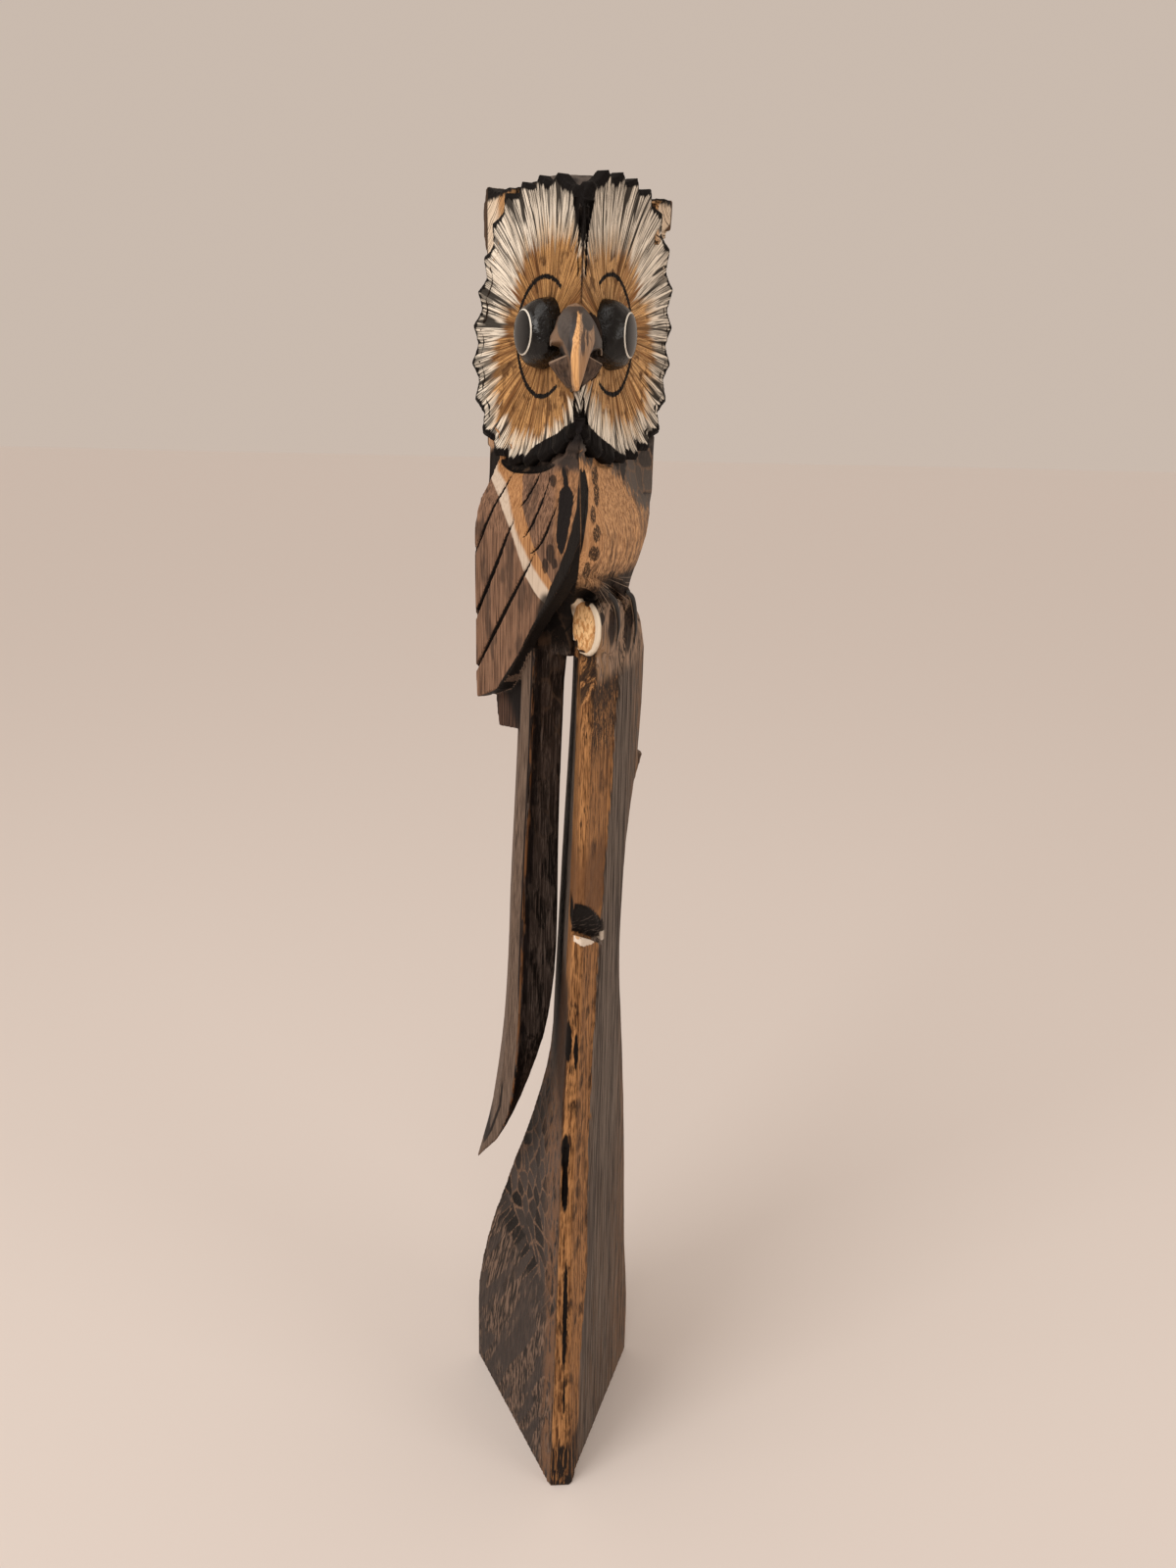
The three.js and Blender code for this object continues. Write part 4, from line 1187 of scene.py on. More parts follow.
# %% Feather paint
def feather_paint(name, disc):
    paint = Paint(name + "_paint")
    share, hollow = paint.attribute("share"), paint.attribute("hollow")
    broad, fine = paint.attribute("broad"), paint.attribute("fine")
    across = paint.s - disc["s"]
    rise = paint.z - disc["z"]
    far = paint.calc("SQRT", across * across + rise * rise)
    far = paint.calc("MAXIMUM", far, 1.0)
    east, north = across / far, rise / far
    angle = paint.calc("ARCTAN2", rise, across) * (180 / math.pi)
    spokes = paint.vector(east, north, share)
    tuft = paint.grain((0.16, 0.16, 1.6), 2.0, vector=spokes)
    streak = paint.grain((0.050, 0.050, 0.9), 2.0, vector=spokes)
    strand = paint.grain((0.026, 0.026, 0.55), 2.0, vector=spokes)
    hair = paint.grain((0.012, 0.012, 0.30), 2.0, vector=spokes)
    blot = paint.grain((9.0, 9.0, 9.0), 3.0)
    dust = paint.grain((0.7, 0.7, 0.7), 2.0)

    limit = angle.along(ZONES[name])
    inner = limit + (streak - 0.5) * 0.42 - share
    warm_zone = inner.fade(-0.05, 0.06)
    pale_zone = 1 - warm_zone
    white = paint.blend(GREY_CREAM, CREAM, strand.fade(0.3, 0.55))
    toned = (strand * 0.6 + tuft * 0.5).fade(0.4, 0.68)
    warm = paint.blend(WARMTH[name]["low"], WARMTH[name]["high"], toned)
    brown = blot.fade(0.5, 0.66) * tuft.fade(0.36, 0.56)
    warm = warm.cover((0.075, 0.028, 0.009), brown * 0.85)
    rings = paint.grain((1.0, 1.0, 10.0), 2.0, vector=paint.vector(far, angle * 0.5, paint.z), bend=0.4)
    warm = warm.cover((0.16, 0.066, 0.024), rings.fade(0.58, 0.66) * 0.45)
    honey_edge = inner.fade(-0.16, -0.02) * pale_zone * tuft.fade(0.4, 0.58) * 0.55
    colour = paint.blend(white.cover((0.6, 0.38, 0.18), honey_edge), warm, warm_zone)

    near_rim = share.fade(0.72, 0.98)
    shade = hair + near_rim * 0.055
    shade = shade + (tuft - 0.5) * 0.16
    shade = shade + (dust - 0.5) * 0.1
    hair_line = shade.fade(0.535, 0.6)
    strand_line = (strand + near_rim * 0.05).fade(0.6, 0.66)
    lines = (
        broad.fade(0.22, 0.6) * (0.7 + pale_zone * 0.25) | strand_line * 0.82
        | hair_line * (0.62 + pale_zone * 0.16) | fine.fade(0.45, 0.85) * 0.4
    )
    stain = paint.blend(UMBER, (0.009, 0.007, 0.006), 0.1 + pale_zone * 0.9)
    colour = colour.cover(stain, lines)

    low_side = north.fade(-0.35, -0.85)
    black_from = 0.95 - low_side * 0.014
    tip = share + (0.5 - hollow) * 0.012
    tip = tip + (strand - 0.5) * 0.1
    tip = tip + (streak - 0.5) * 0.08
    rim = (tip - black_from).fade(-0.008, 0.01)
    colour = colour.cover(SOOT_AND_SHADE, rim | share.fade(0.956, 0.968))

    drawn_at = STROKE_REACH["middle"] + east * STROKE_REACH["east"]
    drawn_at = drawn_at + north * STROKE_REACH["north"]
    off = (far - drawn_at).ragged((1.3, 1.3, 1.3), 1.9)
    drawn = abs(off).fade(1.75, 1.35) * angle.fade(-123, -120) * angle.fade(133, 130)
    colour = colour.cover(SOOT_AND_SHADE, drawn)

    middle = abs(paint.x)
    crease = middle.ragged((3.0, 3.0, 6.0), 1.2).fade(1.1, 0.3) * paint.z.fade(915, 925) * 0.85
    colour = colour.cover((0.07, 0.034, 0.016), crease)
    pit = (middle.ragged((3.0, 3.0, 3.0), 1.4) - paint.z.along(PIT_WIDTH)).fade(0.4, -0.6)
    colour = colour.cover(SOOT_AND_SHADE, pit)
    roughness = 0.5 + lines * 0.2
    height = strand * 0.5 - hair_line * 0.7
    return paint.finish(colour, roughness, height, 0.55, 0.0005)


for piece, (name, disc) in zip(face_discs, DISCS.items()):
    piece.data.materials.append(feather_paint(name, disc))
print("discs painted")

# %% [markdown]
# ### Eye and beak paint
# The eyes are black gloss paint over carved wood, with a smooth lens. The beak is charcoal on the left
# flank, bare orange wood down its ridge, and rubbed brown on the right.

# %% Eye paint
def gloss_paint(name, dark, light, low, high, bump, gloss):
    paint = Paint(name)
    mottle = paint.grain((4.0, 4.0, 4.0), 3.0)
    shade = paint.blend(dark, light, mottle.fade(0.38, 0.66))
    roughness = low + mottle.fade(0.3, 0.7) * (high - low)
    return paint.finish(shade, roughness, mottle, bump, 0.0008, gloss)


eye_paints = [
    gloss_paint("eye_flank_gloss", (0.003, 0.0025, 0.0025), (0.008, 0.007, 0.006), 0.14, 0.34, 0.9, 0.30),
    gloss_paint("eye_ring_cream", (0.66, 0.62, 0.54), (0.80, 0.76, 0.68), 0.40, 0.50, 0.1, 0.3),
    gloss_paint("eye_lens_gloss", (0.003, 0.0027, 0.0027), (0.006, 0.0055, 0.0055), 0.06, 0.16, 0.05, 0.34),
]
for piece in eyes:
    for material in eye_paints:
        piece.data.materials.append(material)
print("eyes painted")

# %% [markdown]
# The beak was painted charcoal and then rubbed, so the bare orange wood shows on its ridge. Two curves
# say where the ridge runs and where the brown begins at each height, and the colours meet there.

# %% Beak paint
def beak_paint():
    paint = Paint("beak_paint")
    fibre = paint.grain((0.9, 0.9, 15.0), 3.0)
    ridge_x = paint.z.along([
        (868, -5.4), (872, -6.4), (879, -7.2), (885, -7.9), (890, -7.7), (898, -6.8), (904, -4.8),
        (913, -3.3), (922, -2.6),
    ])
    stripe_end = paint.z.along([
        (868, -2.6), (890, -3.4), (900, -3.0), (907, -2.4), (914, -2.2), (922, -2.6),
    ])
    drift = (paint.grain((3.0, 3.0, 10.0), 2.0) - 0.5) * 1.2
    x = paint.x + drift
    left = paint.blend((0.03, 0.024, 0.021), (0.08, 0.062, 0.053), fibre.fade(0.3, 0.7))
    left = left.cover((0.02, 0.015, 0.014), (x - ridge_x).fade(-3.4, -2.4) * 0.8)
    stripe = paint.blend((0.42, 0.2, 0.075), (0.7, 0.39, 0.16), fibre.fade(0.3, 0.6))
    brown = paint.blend((0.17, 0.095, 0.055), (0.38, 0.235, 0.135), fibre.fade(0.35, 0.62))
    marks = paint.spots(
        x, paint.z, [(-0.6, 895, 1.3, 7.0), (2.4, 899, 0.9, 5.0), (0.2, 903, 0.8, 3.0)], 0.3
    )
    brown = brown.cover((0.05, 0.033, 0.026), marks * 0.9)
    warm_tip = paint.z.fade(893, 884) * 0.6
    brown = brown.cover((0.4, 0.215, 0.095), warm_tip)
    colour = left.cover(stripe, (x - ridge_x).fade(-0.4, 0.2))
    colour = colour.cover(brown, (x - stripe_end).fade(-0.2, 0.5))
    nostril = paint.spots(x, paint.z, [(3.2, 909.8, 4.0, 6.6)], 0.2)
    charcoal = (0.042, 0.033, 0.029)
    crown = paint.z.fade(912.5, 914.5) * x.fade(-3.5, -2.0)
    crown = crown | paint.z.ragged((3.0, 3.0, 3.0), 1.5).fade(914, 916)
    colour = colour.cover(charcoal, nostril | crown)
    cheek_right = (paint.x - paint.z.along(BEAK_RIGHT)).fade(-0.3, 0.6)
    colour = colour.cover(paint.blend((0.03, 0.024, 0.022), (0.08, 0.062, 0.052), fibre), cheek_right)
    cheek_left = (paint.z.along(BEAK_LEFT) - paint.x).fade(-0.3, 0.6)
    colour = colour.cover(paint.blend((0.1, 0.052, 0.028), (0.24, 0.14, 0.075), fibre), cheek_left)
    brow = paint.z.fade(918.2, 919.4) * paint.grain((2.0, 2.0, 2.0)).fade(0.4, 0.52) * 0.8
    colour = colour.cover((0.3, 0.19, 0.12), brow)
    # Painted shade: the back of the gape under the cheeks is painted near-black.
    inside = paint.y.fade(30, 36) * paint.z.fade(896, 894)
    colour = colour.cover(SOOT_AND_SHADE, inside)
    roughness = 0.3 + fibre * 0.28
    return paint.finish(colour, roughness, fibre, 0.4, 0.0004, 0.35)


beak.data.materials.append(beak_paint())
print("beak painted")

# %% [markdown]
# The jaw is dark with a worn edge, the lips are bare wood, and the claws are black with a painted
# highlight: a light line down one side. The line needs no noise: it follows the way round each stick.

# %% Jaw, lip and claw paint
def jaw_paint():
    paint = Paint("jaw_paint")
    fibre = paint.grain((2.0, 2.0, 9.0), 3.0)
    colour = paint.blend((0.036, 0.025, 0.02), (0.115, 0.074, 0.052), fibre.fade(0.3, 0.7))
    edge = (paint.z - abs(paint.x + 3.2).along([(0, 891.5), (16.5, 884.4)])).fade(-0.4, 0.2) * 0.7
    colour = colour.cover((0.3, 0.21, 0.15), edge)
    return paint.finish(colour, 0.45, fibre, 0.4, 0.0004)


def claw_paint():
    paint = Paint("claw_paint")
    side = paint.attribute("edge")
    # A painted highlight: one side of each claw is lighter, on its lower part.
    colour = paint.blend(
        (0.01, 0.008, 0.007), (0.46, 0.36, 0.27), side.fade(-0.55, -0.8) * paint.z.fade(736, 728)
    )
    return paint.finish(colour, 0.35, gloss=0.4)


jaw.data.materials.append(jaw_paint())
lip_paint = gloss_paint("lip_paint", (0.16, 0.115, 0.085), (0.33, 0.25, 0.19), 0.40, 0.55, 0.2, 0.3)
for piece in lips:
    piece.data.materials.append(lip_paint)
claw_colour = claw_paint()
for piece in claws:
    piece.data.materials.append(claw_colour)
print("jaw, lips and claws painted")

# %% [markdown]
# ### The wood's paint
# The carving is one piece of wood, but a single paint with every finish in it is more than the renderer
# can hold in one go. So four paints are mixed on the same ground, and each takes one part of the carving.
# They meet under the discs, under the body and in the slit. The ground is wood scorched brown.

# %% Wood ground
class WoodPaint(Paint):
    """Paint for the carving, with the noise that all its parts share."""

    def __init__(self, name):
        super().__init__(name)
        self.ridge, self.tone = self.attribute("ridge"), self.attribute("tone")
        self.left, self.right = self.x.fade(0.4, -0.4), self.x.fade(-0.4, 0.4)
        self.long_grain = self.grain((2.0, 2.0, 46.0), 4.0)
        self.thin_grain = self.grain((0.7, 0.7, 24.0), 3.0)
        self.hair_grain = self.grain((0.45, 0.45, 12.0), 2.0)
        self.cloud = self.grain((24.0, 24.0, 38.0), 3.0)
        self.patch = self.grain((6.0, 6.0, 16.0), 4.0)
        self.speck = self.grain((2.2, 2.2, 5.0), 3.0)
        self.crumb = self.grain((1.1, 1.1, 2.2), 3.0)
        self.web = self.ridge.ragged((2.5, 2.5, 5.0), 0.09).fade(0.17, 0.05)

    def coat(self, *layers):
        colour = self.blend((0.026, 0.017, 0.012), (0.11, 0.066, 0.042), self.long_grain.fade(0.35, 0.65))
        for layer in layers:
            colour = layer(self, colour)
        roughness = 0.46 + self.thin_grain * 0.28
        height = self.thin_grain * 0.6 + self.crumb * 0.5
        height = height + self.hair_grain * 0.5
        return self.finish(colour, roughness, height, 0.5, 0.0006)


print("the ground is ready")

# %% [markdown]
# Every finish on the trunk ends at one of two lines: the back edge of the orange band, or the left edge
# of the narrow front. Both are measured once, with a little wander, and the layers below read them.

# %% Trunk measures
def trunk_measures(paint, colour):
    x, z, s = paint.x, paint.z, paint.s
    paint.is_trunk = z.fade(712, 704)
    paint.from_band = s.ragged((3.0, 3.0, 18.0), 4.5) - z.along(BAND_EDGE)
    nose_line = (
        z.along(NOSE_LEFT)
        - z.along([(400, 0), (470, 2.5), (500, 5.5), (560, 6.0), (640, 5.0), (700, 3.0)])
    )
    paint.from_nose = (x - nose_line).ragged((2.5, 2.5, 9.0), 1.0)
    return colour


print("trunk measures ready")

# %% [markdown]
# The trunk's right side is raw saw-cut wood gone grey. Noise that is thirty times longer than wide
# gives its lines, and a browner pair of colours goes over it far back and low down.

# %% Grey side
def side_layers(paint, colour):
    z, s = paint.z, paint.s
    long_grain, thin_grain, patch = paint.long_grain, paint.thin_grain, paint.patch
    right, is_trunk, from_band = paint.right, paint.is_trunk, paint.from_band
    reed = paint.grain((2.6, 2.6, 90.0), 3.0, rough=0.7)
    side_lines = (reed * 0.7 + thin_grain * 0.3).fade(0.4, 0.6)
    side_mask = is_trunk * right * from_band.fade(-0.8, 0.8)
    colour = colour.cover(paint.blend((0.03, 0.022, 0.018), (0.175, 0.136, 0.11), side_lines), side_mask)
    brown_edge = side_mask * s.fade(112, 156) * patch.fade(0.36, 0.56) * 0.8
    colour = colour.cover(paint.blend((0.085, 0.05, 0.032), (0.25, 0.15, 0.092), side_lines), brown_edge)
    beside_band = side_mask * from_band.fade(16, 6) * z.fade(330, 250) * 0.85
    colour = colour.cover(
        paint.blend((0.072, 0.056, 0.047), (0.125, 0.098, 0.082), side_lines), beside_band
    )
    low_side = side_mask * z.fade(330, 180) * from_band.fade(14, 24) * long_grain.fade(0.46, 0.6) * 0.75
    return colour.cover(paint.blend((0.036, 0.025, 0.019), (0.18, 0.11, 0.07), thin_grain), low_side)


print("grey side ready")

# %% [markdown]
# The front band is orange wood that was scorched and brushed out again. Its dark cells sit in the
# knife scoops, so the scoops' own tone, stored with the mesh, says where they are. Fine cracks, dark
# wriggling lines below the branch and a black end at the tip of the foot come after.

# %% Orange band
def band_layers(paint, colour):
    y, z = paint.y, paint.z
    long_grain, thin_grain, cloud = paint.long_grain, paint.thin_grain, paint.cloud
    patch, speck, web, ridge, tone = paint.patch, paint.speck, paint.web, paint.ridge, paint.tone
    right, is_trunk, from_band, from_nose = paint.right, paint.is_trunk, paint.from_band, paint.from_nose
    in_band = is_trunk * from_band.fade(0.8, -0.8) * right
    in_nose = is_trunk * y.fade(44, 34)
    band_mask = (in_band | in_nose) * from_nose.fade(0.6, 2.0)
    fibres = long_grain * 0.55 + thin_grain * 0.45
    band = paint.blend((0.07, 0.027, 0.01), (0.42, 0.205, 0.08), fibres.fade(0.38, 0.6))
    band = band.cover((0.42, 0.215, 0.09), web * 0.22)
    dark_cell = (
        tone.fade(0.5, 0.64) * ridge.ragged((1.2, 1.2, 6.0), 0.22).fade(0.1, 0.4) * cloud.fade(0.42, 0.58)
    )
    band = band.cover(
        (0.026, 0.014, 0.008), dark_cell * paint.grain((1.2, 1.2, 9.0), 3.0).fade(0.36, 0.56) * 0.92
    )
    fine_cracks = (
        paint.grain((1.3, 1.3, 11.0), 4.0, bend=0.4).fade(0.55, 0.63) * patch.fade(0.36, 0.52) * 0.85
    )
    band = band.cover((0.024, 0.012, 0.007), fine_cracks)
    worm = (
        z.fade(612, 640) * paint.grain((1.7, 1.7, 6.5), 3.0, bend=1.4).fade(0.46, 0.53)
        * from_nose.fade(9, 15)
    )
    band = band.cover((0.014, 0.01, 0.008), worm * 0.95)
    collar = z.fade(655, 672) * patch.fade(0.4, 0.52) * 0.9
    band = band.cover((0.02, 0.013, 0.01), collar)
    plain = z.fade(500, 508) * z.fade(568, 545) * 0.8
    band = band.cover(paint.blend((0.085, 0.036, 0.015), (0.2, 0.095, 0.042), speck), plain)
    nose_end = z.ragged((2.0, 2.0, 12.0), 12).fade(52, 40) * long_grain.fade(0.44, 0.5)
    band = band.cover((0.016, 0.011, 0.009), nose_end)
    return colour.cover(band, band_mask)


print("orange band ready")

# %% [markdown]
# Left of the front the saw cut a slit between trunk and tail. Its wall is painted darker the further it
# goes in and the lower it lies, as painted shade. One blend of two browns is enough, since little light
# gets there.

# %% Slit wall
def wall_layers(paint, colour):
    x, z = paint.x, paint.z
    long_grain, thin_grain = paint.long_grain, paint.thin_grain
    is_trunk, from_nose = paint.is_trunk, paint.from_nose
    wall_mask = is_trunk * from_nose.fade(2.0, 0.8) * z.fade(330, 350)
    wall = paint.blend((0.075, 0.032, 0.014), (0.25, 0.125, 0.062), long_grain.fade(0.38, 0.62))
    # Painted shade: the wall darkens low down and deep in the slit.
    slit_shade = paint.calc("ADD", z.fade(500, 440), (x - z.along(TRUNK_LEFT)).fade(2.6, 0.6), clamp=True)
    wall = wall.cover(
        paint.blend((0.012, 0.008, 0.006), (0.075, 0.035, 0.018), thin_grain.fade(0.46, 0.62)),
        slit_shade * 0.92,
    )
    return colour.cover(wall, wall_mask)


print("slit wall ready")

# %% [markdown]
# The flare of the foot has scorched scoops above and long slanting strokes below. The scoops' ridges
# were rubbed light, and the strokes are stretched noise turned by 14 degrees.

# %% Flared foot
def flare_layers(paint, colour):
    z = paint.z
    long_grain, cloud, patch = paint.long_grain, paint.cloud, paint.patch
    speck, crumb, web, tone = paint.speck, paint.crumb, paint.web, paint.tone
    is_trunk, from_nose = paint.is_trunk, paint.from_nose
    flare_mask = is_trunk * from_nose.ragged((3.0, 3.0, 9.0), 1.6).fade(1.2, -0.2) * z.fade(350, 336)
    flare_cell = paint.blend(
        (0.01, 0.008, 0.007), (0.06, 0.046, 0.04), (tone + speck * 0.5).fade(0.25, 1.2)
    )
    cell_colour = flare_cell.cover(
        paint.blend((0.085, 0.052, 0.036), (0.21, 0.125, 0.08), crumb.fade(0.4, 0.6)),
        web * cloud.fade(0.34, 0.48),
    )
    slanted = paint.grain((2.4, 2.4, 26.0), 3.0, turn=(0.0, 14.0, 0.0))
    stroke_field = long_grain * 0.4 + slanted * 0.6
    stroke = paint.blend((0.024, 0.018, 0.015), (0.185, 0.12, 0.086), stroke_field.fade(0.45, 0.59))
    stroke = stroke.cover((0.045, 0.035, 0.031), (tone + cloud * 0.8).fade(0.8, 1.05) * 0.85)
    flare = stroke.cover(cell_colour, z.ragged((8.0, 8.0, 12.0), 22).fade(148, 164))
    near_band = from_nose.fade(-9, -3) * patch.fade(0.4, 0.54) * 0.7
    flare = flare.cover((0.2, 0.1, 0.05), near_band)
    flare = flare.cover((0.01, 0.007, 0.006), z.fade(330, 345) * patch.fade(0.62, 0.42) * 0.9)
    return colour.cover(flare, flare_mask)


print("flared foot ready")

# %% [markdown]
# A few long black drying cracks run down the front edge. Each is a narrow oval with a ragged outline,
# which keeps them where they are wanted. Noise alone would scatter them.

# %% Drying cracks
def crack_layers(paint, colour):
    x, y, z = paint.x, paint.y, paint.z
    crack = paint.spots(
        x.ragged((1.6, 1.6, 8.0), 1.3),
        z.ragged((3.0, 3.0, 8.0), 3.0),
        [
            (0.2, 412, 2.6, 17), (6.0, 404, 1.5, 15), (-0.6, 318, 3.0, 18), (-0.4, 288, 2.7, 20),
            (1.4, 172, 1.9, 52), (2.0, 95, 0.9, 20),
        ],
        0.25,
    )
    return colour.cover(SOOT_AND_SHADE, crack * y.fade(34, 26))


print("drying cracks ready")

# %% [markdown]
# Half way down, a wedge was cut out of the front, and the wood below it broke off pale. The recess
# above the lip is painted black as painted shade, and so are the faces there that look down. The mesh
# knows which of its points look down, so the black stays inside the cut.

# %% Notch and pale lip
def lip_layers(paint, colour):
    x, y, z, n = paint.x, paint.y, paint.z, paint.n
    right, crumb = paint.right, paint.crumb
    is_trunk, from_nose = paint.is_trunk, paint.from_nose
    lip_edge = x.along([(-2, 498.5), (2, 497.5), (6, 495.6), (12, 490.8), (17.5, 486.6), (26, 481)])
    over_lip = z.ragged((2.4, 2.4, 2.4), 1.6) - lip_edge
    lip_zone = is_trunk * from_nose.fade(-1.0, 0.5) * y.fade(70, 62) * right
    shade_top = x.along([(-2, 508), (3, 518), (7, 522), (12, 514), (17, 509), (22, 500), (27, 492)])
    under = paint.attribute("under")
    # Painted shade: the recess above the lip and the faces that look down are painted near-black.
    notch_shade = (
        lip_zone * over_lip.fade(0.2, 1.0) * (z.ragged((2.0, 2.0, 9.0), 5) - shade_top).fade(1.5, -1.5)
    )
    notch_shade = notch_shade | lip_zone * under * z.fade(462, 468) * z.fade(530, 524)
    notch_shade_colour = paint.blend(
        SOOT_AND_SHADE, (0.075, 0.06, 0.052), paint.grain((6.0, 6.0, 1.4), 3.0).fade(0.55, 0.66) * z.fade(508, 500)
    )
    colour = colour.cover(notch_shade_colour, notch_shade)
    pale_lip = (
        lip_zone * over_lip.fade(-5.6, -4.8) * over_lip.fade(2.6, 1.6) * (1 - under) * n.fade(-9.0, -7.6)
    )
    colour = colour.cover(paint.blend((0.62, 0.5, 0.39), (0.8, 0.72, 0.62), crumb), pale_lip)
    colour = colour.cover(
        (0.5, 0.26, 0.1), pale_lip * paint.spots(x, z, [(5.5, 497, 2.0, 3.0)], 0.4) * 0.8
    )
    return colour


print("notch and lip ready")

# %% [markdown]
# ### The tail's paint
# The tail's front is nearly black with thin grey hairs, and a grey-brown strip of raw side shows beside
# it. A rusty line and a black one part the two. All follow the tail's left edge at each height.

# %% Tail
def tail_layers(paint, colour):
    x, z, s, n = paint.x, paint.z, paint.s, paint.n
    long_grain, thin_grain, hair_grain, cloud = (
        paint.long_grain, paint.thin_grain, paint.hair_grain, paint.cloud,
    )
    patch, web, tone, left = paint.patch, paint.web, paint.tone, paint.left
    is_tail = z.fade(702, 694)
    from_strip = x - (z.along(TAIL_LEFT) + z.along(TAIL_STRIP))
    tail_hair = (thin_grain * 0.55 + hair_grain * 0.45).fade(0.5, 0.62)
    tail_front = paint.blend((0.008, 0.006, 0.005), (0.04, 0.029, 0.024), tone.fade(0.1, 0.9))
    tail_line = paint.grain((1.5, 1.5, 42.0), 4.0, rough=0.7).fade(0.47, 0.6)
    tail_front = tail_front.cover((0.125, 0.095, 0.08), tail_line * patch.fade(0.3, 0.55) * 0.85)
    tail_front = tail_front.cover((0.07, 0.05, 0.042), tail_hair * 0.5)
    tail_front = tail_front.cover(
        (0.1, 0.066, 0.045), web * cloud.fade(0.4, 0.55) * z.fade(520, 590) * 0.6
    )
    colour = colour.cover(tail_front, is_tail)
    rust_line = (
        is_tail * from_strip.fade(-0.2, 0.6) * from_strip.fade(4.5, 1.5) * long_grain.fade(0.46, 0.56)
    )
    colour = colour.cover((0.17, 0.078, 0.034), rust_line)
    black_line = (
        is_tail * from_strip.fade(1.6, 2.6) * from_strip.fade(9.0, 5.5) * patch.fade(0.34, 0.5) * 0.9
    )
    colour = colour.cover((0.006, 0.004, 0.004), black_line)
    strip = paint.blend((0.05, 0.032, 0.023), (0.185, 0.128, 0.094), thin_grain.fade(0.4, 0.58))
    strip = strip.cover((0.016, 0.011, 0.009), (s - 178.5).fade(0.0, 1.5) * z.fade(300, 360))
    strip = strip.cover((0.012, 0.008, 0.007), from_strip.fade(-1.6, -0.6) * z.fade(400, 430))
    colour = colour.cover(strip, is_tail * from_strip.fade(0.3, -0.3))
    low_split = (
        is_tail * z.fade(330, 318)
        * abs(from_strip - z.along([(216, -3), (262, -5.0), (300, -6.5), (330, -7)])).fade(0.9, 0.5)
    )
    colour = colour.cover((0.012, 0.008, 0.007), low_split)
    under = (
        left * z.fade(704, 700) * z.fade(612, 616) * s.fade(110, 114) * n.fade(-11.8, -12.6)
        * n.fade(-30, -29)
    )
    under_colour = paint.blend((0.02, 0.011, 0.008), (0.105, 0.055, 0.036), long_grain.fade(0.42, 0.6))
    shaded = (z - s * 0.9).fade(500, 522)
    return colour.cover(under_colour.cover((0.006, 0.004, 0.004), shaded), under)


print("tail ready")

# %% [markdown]
# ### The owl's paint
# Between wing and breast, and under the body, the wood was left burnt black. It goes on first, so
# that the wing and the breast only have to cover what they need.

# %% Burnt flank
def flank_layer(paint, colour):
    x, y, z = paint.x, paint.y, paint.z
    thin_grain, cloud, web, tone = paint.thin_grain, paint.cloud, paint.web, paint.tone
    left = paint.left
    is_bird = z.fade(690, 700)
    flank = paint.blend((0.006, 0.0045, 0.004), (0.026, 0.018, 0.014), tone.fade(0.2, 1.0))
    flank = flank.cover(
        (0.085, 0.052, 0.033), (web | thin_grain.fade(0.6, 0.66)) * cloud.fade(0.46, 0.6) * 0.75
    )
    return colour.cover(flank, (left | y.fade(60, 70) * x.fade(14, 8)) * is_bird * z.fade(852, 848))


print("burnt flank ready")

# %% [markdown]
# The breast is warm brown with short downy marks, a row of dark drops beside the front edge and a neck
# of grey scales under the disc. It darkens to black where it meets the branch and along the disc's
# rim, both painted shade. The drops are listed one by one, since everybody looks there, and the down is
# noise.

# %% Breast
BREAST_MARKS = [
    (12.4, 816, 2.4, 6.5), (13.4, 804, 2.2, 7.5), (10.2, 792, 2.3, 5.5), (12.9, 780, 3.0, 5.5),
    (11.4, 767, 4.2, 5.0), (6.5, 756, 3.0, 6.0), (27, 747, 4.0, 4.0),
]


